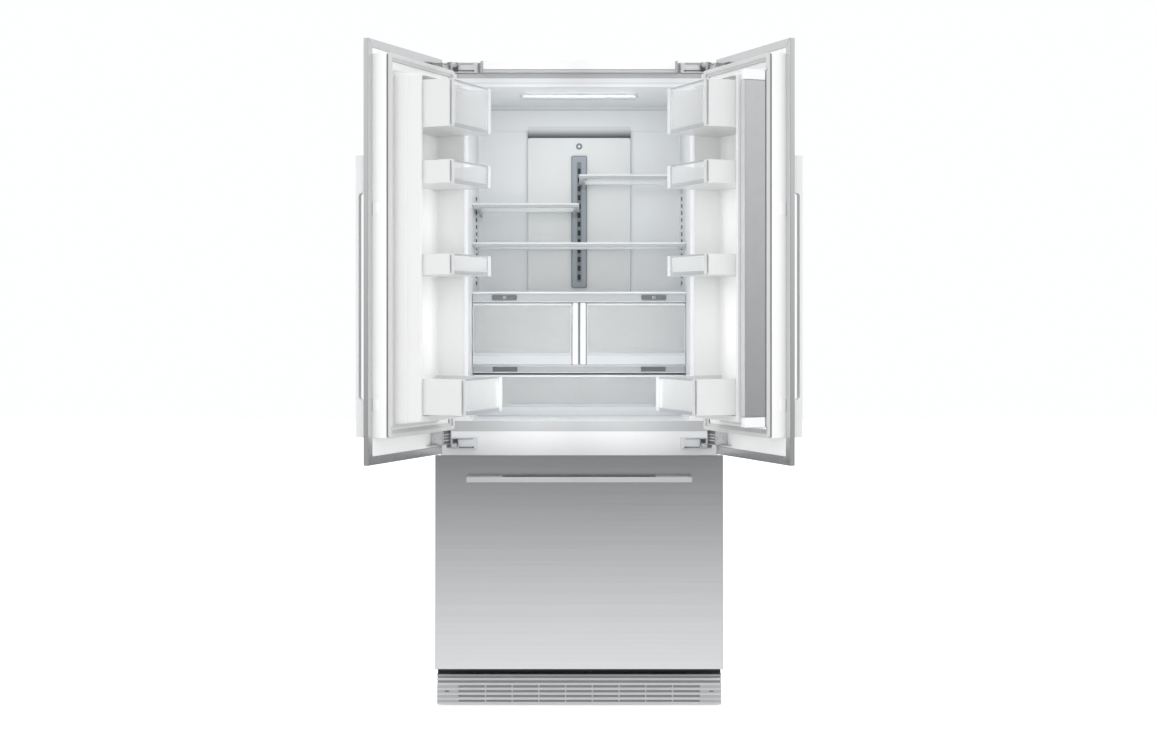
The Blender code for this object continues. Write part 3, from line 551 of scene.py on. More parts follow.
def doorInners():
    # moulded inner of each door: a backing in the steel tray, the body behind the seal and the raised ring
    for hand in sides:
        low, high = leftShut(hand + "_door_inner", hand)
        panelLow, panelHigh = leftShut(hand + "_door_panel", hand)
        sealLow, sealHigh = leftShut(hand + "_door_gasket", hand)
        binLow, binHigh = leftShut(hand + "_door_bin_1", hand)
        face = panelHigh[1]
        front = sealLow[1] - gap
        ringTop = face + inner["dykeDeep"]
        bodyLow = np.array([sealLow[0] - 0.001, face + gap, sealLow[2] - 0.001])
        bodyHigh = np.array([sealHigh[0] + 0.001, front, sealHigh[2] + 0.001])
        flange = panel["flange"] + gap
        backLow = (panelLow[2] + flange, panelLow[0] + flange)
        backHigh = (panelHigh[2] - flange, panelHigh[0] - flange)
        backing = loft(backLow, backHigh, [(0, face - inner["backing"]), (0, face - 0.0008), (0.0008, face)],
            0.003, "y")
        bodyProfile = [(0, bodyLow[1]), (0, front - 0.004), (0.0012, front - 0.001), (0.004, front)]
        body = loft((bodyLow[2], bodyLow[0]), (bodyHigh[2], bodyHigh[0]), bodyProfile, 0.004, "y")
        ringLowX = binLow[0] - gap - inner["dykeWall"]
        ringHighX = binHigh[0] + gap + inner["dykeWall"] + inner["dykeSide"]
        ringLowZ, ringHighZ = bodyLow[2] + inner["dykeFoot"], bodyHigh[2] - inner["dykeHead"]
        sill = leftShut(hand + "_door_bin_4", hand)[0][2] - 0.0008
        parts = [("doorWhite", backing), ("doorWhite", body)]
        parts += dykeShape(ringLowX, ringHighX, ringLowZ, ringHighZ, front, ringTop, sill)
        parts += hingeCups(bodyLow, bodyHigh, panelLow, face)
        if hand == "right":
            parts += mullionLugs()
        doorPiece(hand + "InnerShell", hand, parts, hand + "_door", "door_white", [hand + "_door_inner"])
        doorPiece(hand + "PanelTabs", hand, panelTabs(bodyHigh, panelHigh), hand + "_door", "door_white")


def dykeShape(x0, x1, z0, z1, base, top, sill):
    # raised ring: up from its root over a crease to its crest, then down the inside to the lined well; the
    # ring's outside is the door's white made darker, as painted shade
    mid = base + 0.56 * (top - base)
    wall = inner["dykeWall"]
    outer = [(-0.01, base), (-0.004, base + 0.003), (0, base + 0.012), (0.0024, mid - 0.004),
        (0.0044, mid - 0.0016), (0.0044, mid + 0.001), (0.0036, mid + 0.003), (0.008, top - 0.006),
        (0.0088, top - 0.001), (0.0105, top)]
    insideRings = [(wall - 0.003, top), (wall - 0.0008, top - 0.003), (wall - 0.0004, base + 0.004)]

    def outerRing(inset, height):
        return ring((z0 + inset, x0 + inset), (z1 - inset, x1 - inset), max(0.014 - inset, 0.004), height, 5)

    def insideRing(inset, radius, height):
        return ring((sill + inset - wall, x0 + inset), (z1 - inset, x1 - inset - 0.0067), radius, height, 5)

    sections = [outerRing(inset, height) for inset, height in outer]
    sections += [insideRing(inset, 0.008, height) for inset, height in insideRings]
    sections.append(insideRing(wall + 0.003, 0.006, base + 0.0005))
    lining = [insideRing(wall + 0.0035, 0.006, base + 0.0002),
        insideRing(wall - 0.0009, 0.008, base + 0.0048), insideRing(wall - 0.0009, 0.008, top - 0.0042),
        insideRing(wall - 0.0003, 0.008, top - 0.004), insideRing(wall + 0.0001, 0.008, base + 0.005),
        insideRing(wall + 0.0035, 0.006, base + 0.001)]
    return [("dykeShadedWhite", skin(sections, "y")), ("doorWhite", skin(lining, "y"))]


hingeCup = {"from": 0.016, "to": 0.075, "deep": 0.042, "cheek": 0.006, "plate": 0.003, "pin": 0.0045}


def hingeCups(bodyLow, bodyHigh, panelLow, face):
    # cup beside each hinge link: two bright cheeks, a dark block between them that paints the shade in the
    # cup, pins and a screw plate
    parts = Shapes()
    x0, x1 = panelLow[0] + hingeCup["from"], panelLow[0] + hingeCup["to"]
    y0, y1 = face + gap, face + hingeCup["deep"]
    cheek, thick = hingeCup["cheek"], hingeCup["plate"]
    for level in ("lower", "upper"):
        linkLow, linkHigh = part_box(f"left_{level}_hinge_link")
        if level == "lower":
            z0, z1 = linkHigh[2] + gap, bodyLow[2]
            plate = (z0, z0 + thick)
        else:
            z0, z1 = bodyHigh[2], linkLow[2] - gap
            plate = (z1 - thick, z1)
        parts.block("darkSteel", (x0 + 0.002, y0, z0 + 0.001), (x1 - 0.002, y1 - 0.006, z1 - 0.001), 0.002)
        for x in (x0, x1 - cheek):
            parts.block("hingeSteel", (x, y0, z0), (x + cheek, y1, z1), 0.0018, "x", 0.004)
        parts.block("hingeSteel", (x0 + 0.0005, y0 + 0.0003, plate[0] + 0.0001),
            (x1 + 0.03, y0 + 0.014, plate[1] - 0.0001), 0.001)
        parts.block("hingeSteel", (x0 + 0.0002, y0 + 0.0001, plate[0]), (x1 - 0.0002, y1 - 0.003, plate[1]),
            0.0011)
        middle = (z0 + z1) / 2
        for y in (y1 - 0.01, y0 + 0.012):
            parts.turned("hingeSteel", (y, middle), [(0.0038, x0 - 0.001), (hingeCup["pin"], x0),
                (hingeCup["pin"], x1), (0.0038, x1 + 0.001)], "x", 20)
        for z in (z0 + 0.3 * (z1 - z0), z0 + 0.7 * (z1 - z0)):
            parts.block("hingeSteel", (x0 + cheek, y1 - 0.0075, z - 0.002),
                (x1 - cheek, y1 - 0.0045, z + 0.002), 0.0012)
    return parts


lug = {"tall": 0.005, "reach": 0.006, "deep": 0.008}


def mullionLugs():
    # two lugs that carry the mullion, above and below its folded box beside the ring
    low, high = shutBox("mullion", "right")
    x0, x1 = -high[0], -low[0]
    parts = Shapes()
    for z in ((low[2] - gap - lug["tall"], low[2] - gap), (high[2] + gap, high[2] + gap + lug["tall"])):
        parts.block("shelfWhite", (x0 - lug["reach"], low[1] - gap - 0.003, z[0]),
            (x1 - 0.0002, low[1] + lug["deep"], z[1]), 0.0012)
    return parts


def panelTabs(bodyHigh, panelHigh):
    # two small retaining clips on the moulded inner's leading side, just behind the steel flange
    parts = Shapes()
    x0, x1 = bodyHigh[0] - 0.001, bodyHigh[0] + panel["tabProud"]
    y0, y1 = panelHigh[1] + gap, panelHigh[1] + panel["tabWide"]
    for z in panel["tabLevels"]:
        parts.block("doorWhite", (x0, y0, z), (x1, y1, z + panel["tabTall"]), 0.001, "x")
    return parts


gasket = {"wide": 0.021, "flangeFace": 0.0124, "magnet": 0.0135}


def sealRing(low, high, foot, top):
    # bellows seal swept round the opening: a foot in its groove, painted dark as the shadow between the door
    # and the seal, then waist, magnet bead and channel
    depth, wide = top - foot, gasket["wide"]
    low, high = (low[2], low[0]), (high[2], high[0])
    groove = [(0.0015, foot), (0.0015, foot + 0.24 * depth), (wide, foot + 0.24 * depth), (wide, foot)]
    bellows = [(0.0035, foot + 0.22 * depth), (0.0008, foot + 0.38 * depth), (0.0, foot + 0.62 * depth),
        (0.0006, top - 0.001), (0.0022, top), (0.012, top), (0.0135, top - 0.0012),
        (0.0128, foot + 0.55 * depth), (0.0165, foot + 0.42 * depth), (wide, foot + 0.3 * depth),
        (wide, foot + 0.22 * depth)]
    return [("sealGrooveShade", loft(low, high, groove, 0.009, "y", wrap=True, steps=5)),
        ("gasket", loft(low, high, bellows, 0.009, "y", wrap=True, steps=5))]


def doorGaskets():
    # the seal ring of each door, with a wider magnet strip where the doors meet
    for hand in sides:
        low, high = leftShut(hand + "_door_gasket", hand)
        seal = sealRing(low, high, low[1], low[1] + gasket["flangeFace"])
        mullionLow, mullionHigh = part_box("mullion")
        lead = block((high[0] - gasket["magnet"], low[1] + 0.006, mullionLow[2]),
            (high[0] - 0.0012, high[1], mullionHigh[2]), 0.002, "y")
        doorPiece(hand + "MagnetSeal", hand, seal + [("gasket", lead)], hand + "_door", "seal_grey",
            [hand + "_door_gasket"])


doorBin = {"endWall": 0.0055, "wall": 0.0026, "frame": 0.022, "trim": 0.012}


def binParts(low, high, tall):
    # white end caps and floor, a clear window across the front with a grey sill and rim
    x0, y0, z0 = low
    x1, y1, z1 = high
    cap = doorBin["frame"]
    wall = doorBin["wall"]
    parts = Shapes()
    for start, end, capX in ((x0, x0 + cap, -1), (x1 - cap, x1, 1)):
        side = (start, start + doorBin["endWall"]) if capX < 0 else (end - doorBin["endWall"], end)
        parts.block("binWhite", (side[0], y0, z0), (side[1], y1, z1), 0.0022, "x", 0.005)
        # the cap's front face in a darker white: painted shade, the same plastic as its side
        parts.block("binEdgeShade", (start, y1 - 0.007, z0), (end, y1, z1), 0.0022, "y", 0.004)
    parts.block("binWhite", (x0 + 0.004, y0, z0), (x1 - 0.004, y1 - 0.004, z0 + 0.0035), 0.0012)
    parts.block("binWhite", (x0 + 0.004, y0, z0 + 0.003), (x1 - 0.004, y0 + 0.0045, z1), 0.0015)
    sill = z0 + doorBin["trim"]
    front = y1 - 0.0012
    parts.block("frameGrey", (x0 + cap - 0.002, front - 0.006, z0 + 0.0008), (x1 - cap + 0.002, front, sill),
        0.0015, "y")
    parts.block("clear", (x0 + cap - 0.002, front - wall - 0.001, sill - 0.001),
        (x1 - cap + 0.002, front - 0.001, z1 - 0.004), 0.0008, "y")
    parts.block("frameGrey", (x0 + cap - 0.003, front - 0.0055, z1 - 0.0052), (x1 - cap + 0.003, front, z1),
        0.0014, "y")
    for x in (x0 + cap - 0.001, x1 - cap - 0.001):
        parts.block("frameGrey", (x, front - 0.0035, sill - 0.001), (x + 0.002, front - 0.0006, z1 - 0.004),
            0.0006, "y")
    if tall:
        for x in (x0 + cap + 0.004, x1 - cap - 0.004):
            parts.block("clearEdge", (x - 0.003, front - 0.005, sill),
                (x + 0.003, front - 0.0002, z1 - 0.004), 0.001, "y")
    return parts


def doorBins():
    # four bins on each door and the clear flap over the top one
    for hand in sides:
        for number in range(1, 5):
            node = f"{hand}_door_bin_{number}"
            low, high = leftShut(node, hand)
            doorPiece(f"{hand}Bin{number}", hand, binParts(low, high, number in (1, 4)), hand + "_door",
                "clear_plastic", [node])
        low, high = leftShut(hand + "_dairy_lid", hand)
        middle = (low[2] + high[2]) / 2
        hingeY = high[1] - 0.0035
        parts = Shapes()
        parts.block("clear", (low[0] + 0.0005, low[1], middle - 0.00125),
            (high[0] - 0.0005, hingeY, middle + 0.00125), 0.0006)
        parts.turned("clearEdge", (hingeY, middle), [(0.0028, low[0]), (0.0034, low[0] + 0.001),
            (0.0034, high[0] - 0.001), (0.0028, high[0])], "x", 20)
        parts.block("trimGrey", (low[0] + 0.02, low[1], middle - 0.0012),
            (high[0] - 0.02, low[1] + 0.004, middle + 0.003), 0.001)
        doorPiece(hand + "DairyFlap", hand, parts, hand + "_lid", "clear_plastic", [hand + "_dairy_lid"])


hingeBase = {"thick": 0.01, "nose": (0.017, 0.042), "leaf": 0.008, "knuckle": 0.0055,
    "lowerPlate": ("shelfTrim", 0.014, 0.0026, 0.0044), "upperPlate": ("plateGrey", 0.014, 0.0048, 0.0058),
    "link": (0.032, 0.062), "linkTurn": (16.5, 33, 88), "pinTurn": (26, 80)}


def hinges():
    # an upper and a lower hinge for each door
    for hand, side in sides.items():
        for level in ("lower", "upper"):
            hingeBasePiece(hand, side, level)
            hingeLinkPiece(hand, side, level)


def hingeBasePiece(hand, side, level):
    # base on the cabinet: the nose that holds the pin, and a plate with a dark rail along its top and foot
    low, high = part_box(f"{hand}_{level}_hinge_base")
    seat = high[1]
    plateY = seat - hingeBase["thick"]
    outerX, innerX = (low[0], high[0]) if side < 0 else (high[0], low[0])
    nose = sorted(outerX - side * reach for reach in hingeBase["nose"])
    z0, z1 = low[2], high[2]
    leaf = (z0 + 0.004, z0 + 0.004 + hingeBase["leaf"]) if level == "lower" else (z1 - 0.014, z1 - 0.006)
    plate, end, railUp, railDown = hingeBase[level + "Plate"]
    parts = Shapes()
    parts.block("hingeSteel", (nose[0], low[1], leaf[0]), (nose[1], plateY + 0.004, leaf[1]), 0.0025)
    parts.block("darkSteel", (nose[0] + 0.004, plateY - hingeBase["knuckle"], z0 + 0.003),
        (nose[1] - 0.004, plateY + 0.002, z1 - 0.003), 0.0025, "y")
    parts.block(plate, (low[0], plateY, z0), (high[0], seat, z1), 0.0012, "y", 0.002)
    stop = innerX + side * end
    x = sorted((outerX - side * 0.002, stop))
    for z, thick, proud in ((z0 + railUp, 0.0028, 0.003), (z1 - railDown, 0.0016, 0.0022)):
        parts.block("darkSteel", (x[0], plateY - proud, z), (x[1], plateY + 0.002, z + thick), 0.0006, "y")
    dot = (z0 + railUp + 0.0014, stop)
    parts.turned("darkSteel", dot, [(0.002, plateY - 0.0036), (0.0027, plateY - 0.003), (0.0028, plateY)],
        "y", 24)
    piece(f"{hand}{level.title()}HingeBase", parts, "cabinet", "rail_steel", [f"{hand}_{level}_hinge_base"])


def arcPoints(radius, start, end, count=9):
    # points of a circular arc about the hinge axis, from start to end in degrees
    turn = np.radians(np.linspace(start, end, count))
    return np.column_stack([radius * np.cos(turn), radius * np.sin(turn)])


def hingeLinkPiece(hand, side, level):
    # curved link that swings half as far as the door, with a rivet at each end
    low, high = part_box(f"{hand}_{level}_hinge_link")
    inside, outside = hingeBase["link"]
    first, step, last = hingeBase["linkTurn"]
    outline = np.concatenate([arcPoints(outside, first, last), arcPoints(inside, last, step)])
    pivot = np.array(joints[hand + "_door_hinge"]["pos_m"][:2]) * np.array([-side, 1])
    halfTurn = -0.5 * turnOf(hinge["left"], hinge["left"]["range_deg"][0])
    c, s = np.cos(halfTurn), np.sin(halfTurn)
    turn = np.array([[c, s], [-s, c]])

    def placed(flat):
        return flat @ turn + pivot

    z0, z1 = low[2], high[2]
    eased = placed(rounded(outline, 0.002))
    shrunk = placed(rounded(outline * 0.985, 0.002))
    levels = ((shrunk, z0), (eased, z0 + 0.001), (eased, z1 - 0.001), (shrunk, z1))
    rings = [levelled(flat, z) for flat, z in levels]
    parts = Shapes([("hingeSteel", skin(rings))])
    radius = (inside + outside) / 2
    for angle in hingeBase["pinTurn"]:
        centre = placed(arcPoints(radius, angle, angle, 1))[0]
        parts.turned("darkSteel", centre, [(0.0044, z0 - 0.0001), (0.005, z0 + 0.0005), (0.005, z1 - 0.0005),
            (0.0044, z1 + 0.0001)], "z", 24)
    if side > 0:
        parts = [(key, mirroredX(shape)) for key, shape in parts]
    piece(f"{hand}{level.title()}HingeLink", parts, f"{hand}_{level}_link", "rail_steel",
        [f"{hand}_{level}_hinge_link"])


mullion = {"capTall": 0.03, "strike": 0.0024}


def mullionPiece():
    # the folding bar between the doors: grey front with a steel strike along one edge and a cap at each end
    low, high = shutBox("mullion", "right")
    low[0], high[0] = -high[0], -low[0]
    capTall = mullion["capTall"]
    parts = Shapes()
    parts.block("mullionGrey", (low[0], low[1], low[2] + capTall),
        (high[0] - 0.0022, high[1], high[2] - capTall), 0.0015)
    parts.block("hingeSteel", (high[0] - mullion["strike"], low[1] + 0.0008, low[2] + capTall + 0.001),
        (high[0], high[1] - 0.0008, high[2] - capTall - 0.001), 0.0008)
    for z in ((low[2], low[2] + capTall - 0.0004), (high[2] - capTall + 0.0004, high[2])):
        parts.block("shelfWhite", (low[0], low[1], z[0]), (high[0], high[1], z[1]), 0.003)
    doorPiece("foldingMullion", "right", parts, "mullion", "mullion_grey", ["mullion"])


liner = {"corner": 0.03, "lip": 0.004, "stepAt": 1.87, "stepProud": 0.005, "ridges": (1.971, 1.987),
    "band": 0.389, "ladderFrom": 0.095, "ladderWide": 0.015, "slotPitch": 0.024, "slotTall": 0.013,
    "guide": (-0.057, 0.048), "wall": 0.003}


def cabinetPieces():
    # the fridge liner: a rounded tub with a flat flange round its mouth
    keepNode("casing", "cabinet_shell")
    low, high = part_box("fridge_liner")
    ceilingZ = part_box("light_lens")[1][2] + gap
    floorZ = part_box("deli_drawer")[0][2] - gap
    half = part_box("deli_shelf")[1][0] + gap
    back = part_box("duct_cover")[1][1] + gap
    front = low[1]
    lip, wall, corner = liner["lip"], liner["wall"], liner["corner"]

    def frameRing(grow, radius, y):
        return ring((-half - grow, floorZ - grow), (half + grow, ceilingZ + grow), radius, -y, 6)

    def plateRing(inset, y):
        return ring((low[0] + inset, low[2] + inset), (high[0] - inset, high[2] - inset), 0.003, -y, 6)

    # outside of the tub, out to the flange, round its edge, then in through the mouth to the back wall
    sections = [frameRing(wall - 0.002, corner, back + wall), frameRing(wall, corner, front + wall + 0.004),
        frameRing(wall, corner, front + wall), plateRing(0, front + wall), plateRing(0, front + 0.001),
        plateRing(0.001, front), frameRing(lip, 0.016, front), frameRing(0.001, 0.014, front + 0.0015),
        frameRing(0, 0.014, front + lip), frameRing(0, 0.02, back - 0.018),
        frameRing(-0.005, 0.02, back - 0.004), frameRing(-0.018, 0.016, back)]
    parts = Shapes([("linerWhite", skin(sections, "-y"))])
    # raised band of the back wall under the ceiling, with a soft lower edge
    proud = liner["stepProud"]
    band = [(back - 0.0002, liner["stepAt"]), (back - proud, liner["stepAt"] + 0.004),
        (back - proud, ceilingZ - 0.012), (back - 0.0002, ceilingZ - 0.004)]
    parts.prism("linerWhite", band[::-1], 0.012 - half, half - 0.012, "x")
    # grey line just under the ceiling: painted shade in the corner of the back wall
    parts.block("creaseShadeGrey", (0.014 - half, back - proud - 0.0006, ceilingZ - 0.0135),
        (half - 0.014, back - 0.001, ceilingZ - 0.011), 0.0004, "y")
    # grey strip over the white flange below the mouth: painted shade on the threshold
    parts.block("sillShadeGrey", (low[0] + 0.0005, front - 0.0002, low[2] + 0.0005),
        (high[0] - 0.0005, front + 0.002, floorZ - 0.001), 0.0006, "y")
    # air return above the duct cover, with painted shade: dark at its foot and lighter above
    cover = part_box("duct_cover")
    face = back - 0.0156
    cove = [(face + 0.002, cover[1][2] + gap), (back - proud - 0.0006, liner["stepAt"] + 0.018),
        (back - proud + 0.002, liner["stepAt"] + 0.018), (back - 0.001, cover[1][2] + gap)]
    parts.prism("returnShadeGrey", cove[::-1], cover[0][0], cover[1][0], "x")
    # grey ridges and band on the flange over the mouth, whose grey paints the shade of its steps and under
    # the header, and the guide that turns the folding mullion
    for z in liner["ridges"]:
        parts.block("creaseShadeGrey", (0.004 - half, front - 0.00015, z - 0.0008),
            (half - 0.004, front + 0.001, z + 0.0008), 0.0002, "y")
    parts.block("creaseShadeGrey", (-liner["band"], front - 0.0001, liner["ridges"][1] - 0.001),
        (liner["band"], front + 0.001, high[2] - 0.0004), 0.0002, "y")
    parts.block("shelfWhite", (liner["guide"][0], front - 0.0002, liner["ridges"][0] + 0.001),
        (liner["guide"][1], front + 0.002, liner["ridges"][1] - 0.001), 0.0003, "y")
    parts += ladderTracks(half, back)
    piece("linerShell", parts, "cabinet", "white_liner", ["fridge_liner"])
    print("liner made")


def ladderTracks(half, back):
    # slotted steel strip in each side wall, which the shelf arms hook into; its slots are dark blocks,
    # painted shade where the openings are
    parts = Shapes()
    y = back - liner["ladderFrom"]
    z0, z1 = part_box("crisper_shelf")[1][2] + 0.019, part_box("upper_left_shelf")[1][2] + 0.047
    for side in (-1, 1):
        x = sorted((side * (half - 0.0045), side * (half + 0.001)))
        parts.block("ductGrey", (x[0], y, z0), (x[1], y + liner["ladderWide"], z1), 0.0002, "x", 0.002)
        for z in np.arange(z0 + 0.006, z1 - liner["slotTall"], liner["slotPitch"]):
            xs = sorted((side * (half - 0.0043), side * (half - 0.0008)))
            parts.block("darkPlastic", (xs[0], y - 0.0003, z), (xs[1], y + 0.001, z + liner["slotTall"]),
                0.0002, "y", 0.001)
    return parts


header = {"centre": 0.3035, "ends": 0.3115, "lower": 0.009, "greyDeep": 0.018}


def headerPieces():
    # rail across the top: a pale middle and ends over a grey return at each hinge
    low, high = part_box("top_rail")
    inset, edge = header["centre"], header["ends"]
    front = low[1]
    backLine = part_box("left_upper_hinge_base")[1][1] + 0.0005
    lower = low[2] + header["lower"]
    parts = Shapes()
    parts.block("headerWhite", (-inset, front, lower), (inset, high[1], high[2]), 0.001, "y")
    # grey strip under the header's white: painted shade on its underside
    parts.block("creaseShadeGrey", (-inset, front + 0.0015, low[2]), (inset, high[1] - 0.001, lower - 0.0006),
        0.0008, "y")
    for side in (-1, 1):
        split = backLine + header["greyDeep"]
        outline = [(side * (inset + gap), front), (side * edge, front), (side * edge, backLine),
            (side * high[0], backLine), (side * high[0], split), (side * (inset + gap), split)]
        parts.prism("headerGrey", outline[::side], low[2], high[2])
        x = sorted((side * (inset + gap), side * high[0]))
        parts.block("headerWhite", (x[0], split + 0.0002, low[2]), (x[1], high[1], high[2]), 0.001)
    piece("headerRail", parts, "cabinet", "header_white", ["top_rail"])


grille = {"end": 0.068, "pitch": 0.0154, "bars": 5, "firstBar": 0.0135, "bar": 0.0076, "edge": 0.0065,
    "sink": 0.004, "deep": 0.02, "field": 0.0845, "openRows": 4, "screwIn": 0.031, "bracket": (0.043, 0.058),
    "shelf": 0.014}


def toeGrille():
    # set-back plate with level bars across it; open slots between the lower bars, split by short ribs; the
    # plate, the end plates and the top bar are the grille's metal made darker, as painted shade in the gaps
    # and under the drawer
    low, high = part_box("toe_grille")
    y0, y1 = low[1], low[1] + grille["deep"]
    x0, x1 = low[0], high[0]
    end, pitch, sink = grille["end"], grille["pitch"], grille["sink"]
    rows = grille["openRows"]
    openTop = low[2] + grille["firstBar"] + (rows - 1) * pitch + 0.004
    parts = Shapes()
    parts.block("grilleDeepShade", (x0 + 0.001, y0 + sink + 0.002, low[2] + 0.001),
        (x1 - 0.001, y1, high[2] - 0.001), 0.001, "y")
    # end plates a little darker than the bars: painted shade in the end gaps
    for start, stop in ((x0, x0 + end), (x1 - end, x1)):
        parts.block("grilleHalfShade", (start, y0 + 0.0012, low[2]), (stop, y0 + sink + 0.003, openTop), 0.0008,
            "y")
    levels = [(low[2], low[2] + grille["edge"], "grilleGrey")]
    for row in range(grille["bars"]):
        z = low[2] + grille["firstBar"] + row * pitch
        levels.append((z, z + grille["bar"], "grilleGrey"))
    # the top bar is darker: painted shade under the drawer panel
    levels.append((high[2] - 0.004, high[2], "grilleHalfShade"))
    for z, top, key in levels:
        bar = rounded([(y0, z), (y0 + sink + 0.003, z), (y0 + sink + 0.003, top), (y0 + 0.0016, top)], 0.0012)
        parts.prism(key, bar, x0, x1, "x")
    for x in np.arange(x0 + end + grille["field"], x1 - end - 0.02, grille["field"]):
        parts.block("grilleGrey", (x - 0.0018, y0 + 0.0014, low[2] + 0.002),
            (x + 0.0018, y1 - 0.001, openTop), 0.0006, "y")
    middle = low[2] + grille["firstBar"] + 2 * pitch - 0.0033
    for x in (x0 + grille["screwIn"], x1 - grille["screwIn"]):
        parts.block("darkPlastic", (x - 0.007, y0 - 0.00005, middle - 0.0012),
            (x + 0.007, y0 + 0.002, middle + 0.0012), 0.0002, "y", 0.001)
    for side in (-1, 1):
        x = sorted(side * (x1 - reach) for reach in grille["bracket"])
        parts.block("hingeSteel", (x[0], y1 - 0.002, high[2] - 0.036), (x[1], high[1], high[2]), 0.001)
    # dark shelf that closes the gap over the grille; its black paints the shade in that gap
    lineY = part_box("freezer_liner")[0][1]
    lid = [(y0 + 0.002, high[2] - 0.001), (lineY - 0.0006, high[2] - 0.001),
        (lineY - 0.0006, high[2] + grille["shelf"]), (lineY - 0.003, high[2] + grille["shelf"]),
        (lineY - 0.003, high[2] + 0.0015), (y0 + 0.002, high[2] + 0.0015)]
    parts.prism("darkPlastic", lid, x0 + 0.0005, x1 - 0.0005, "x")
    piece("louvredGrille", parts, "cabinet", "grille_grey", ["toe_grille"])


shelf = {"rim": 0.012, "thick": 0.014, "armFrom": 0.1, "arm": 0.008, "armIn": 0.012}


def frontTrim(x0, x1, y, z0, z1):
    # moulded nosing in two tones: a pale rounded lip over a darker face set back a little
    split = z1 - 0.42 * (z1 - z0)
    lip = rounded([(y, split), (y + 0.014, split), (y + 0.014, z1), (y, z1)], 0.0022)
    lower = rounded([(y + 0.0012, z0), (y + 0.013, z0), (y + 0.013, split + 0.0002),
        (y + 0.0012, split + 0.0002)], 0.0016)
    parts = Shapes()
    parts.prism("shelfTrim", lip, x0, x1, "x")
    parts.prism("trimGrey", lower, x0 + 0.0005, x1 - 0.0005, "x")
    return parts


def shelfParts(low, high, armed=0):
    # tempered glass in a white surround with a clear front nosing; armed is the wall side of its arms
    x0, y0 = low[0], low[1]
    x1, y1 = high[0], high[1]
    top, rim, thick = high[2], shelf["rim"], shelf["thick"]
    parts = Shapes()
    parts.block("glass", (x0 + rim - 0.002, y0 + 0.01, top - 0.0055),
        (x1 - rim + 0.002, y1 - rim, top - 0.0012), 0.0008)
    parts.block("shelfWhite", (x0 + 0.001, y1 - rim - 0.002, top - thick), (x1 - 0.001, y1, top), 0.002, "x",
        0.003)
    parts += frontTrim(x0 + 0.0005, x1 - 0.0005, y0, top - thick, top)
    for start in (x0, x1 - rim):
        parts.block("shelfWhite", (start, y0 + 0.011, top - thick), (start + rim, y1 - 0.002, top), 0.002,
            "y", 0.003)
    if armed:
        span, near = shelf["arm"], shelf["armIn"]
        for x in (x0 + near, x1 - near - span):
            arm = rounded([(y0 + shelf["armFrom"], top - thick + 0.002),
                (y0 + shelf["armFrom"], top - thick - 0.005), (y1 - 0.05, low[2]), (y1, low[2]),
                (y1, top - thick + 0.002)], 0.004)
            parts.prism("trimGrey", arm, x, x + span, "x")
    return parts


fascia = {"upper": 0.0068, "lower": 0.0032, "recess": 0.006, "deep": 0.014, "slot": 0.041}


def framedShelf(node, name, slots=False):
    # deep shelf over a drawer: glass in a frame, with a recessed dark channel along its front
    low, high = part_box(node)
    x0, y0, z0 = low
    x1, y1, z1 = high
    upper, lower, deep = z1 - fascia["upper"], z0 + fascia["lower"], y0 + fascia["deep"]
    face = y0 + fascia["recess"]
    parts = Shapes()
    parts.prism("shelfTrim", rounded([(y0, upper), (deep, upper), (deep, z1), (y0, z1)], 0.0022), x0, x1, "x")
    parts.prism("shelfTrim", rounded([(y0 + 0.0006, z0), (deep, z0), (deep, lower), (y0 + 0.0006, lower)],
        0.0018), x0, x1, "x")
    parts.block("channelGrey", (x0 + 0.001, face + 0.0002, lower - 0.001),
        (x1 - 0.001, deep - 0.001, upper + 0.001), 0.0005, "y")
    parts.block("glass", (x0 + 0.01, deep - 0.002, z1 - 0.006), (x1 - 0.01, y1 - 0.01, z1 - 0.0012), 0.0008)
    parts.block("shelfWhite", (x0, y1 - 0.012, z0), (x1, y1, z1 - 0.0005), 0.0015, "x")
    for start in (x0, x1 - 0.012):
        parts.block("shelfWhite", (start, deep - 0.001, z0), (start + 0.012, y1 - 0.002, z1), 0.0015, "y")
    parts.block("shelfWhite", (-0.0225, deep - 0.002, z0 + 0.0005), (0.0225, y1 - 0.004, z1 - 0.0062), 0.002,
        "y")
    if slots:
        for side in (-1, 1):
            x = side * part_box("right_humidity_slider")[0][0] + side * fascia["slot"]
            parts.block("sliderDark", (x - fascia["slot"], face - 0.0012, lower + 0.0015),
                (x + fascia["slot"], face + 0.001, upper - 0.0015), 0.0006, "y")
    piece(name, parts, "cabinet", "shelf_white", [node])


def shelves():
    # two half shelves on arms, the middle shelf and the two covers over the drawers
    for hand in sides:
        low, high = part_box(f"upper_{hand}_shelf")
        piece(f"{hand}GlassShelf", shelfParts(low, high, sides[hand]), "cabinet", "shelf_glass",
            [f"upper_{hand}_shelf"])
    low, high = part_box("middle_shelf")
    piece("middleGlassShelf", shelfParts(low, high), "cabinet", "shelf_glass", ["middle_shelf"])
    framedShelf("crisper_shelf", "crisperCover")
    framedShelf("deli_shelf", "deliCover", slots=True)


tub = {"wall": 0.0028, "base": 0.03, "trayBase": 0.02, "rim": 0.008, "ribs": 3}


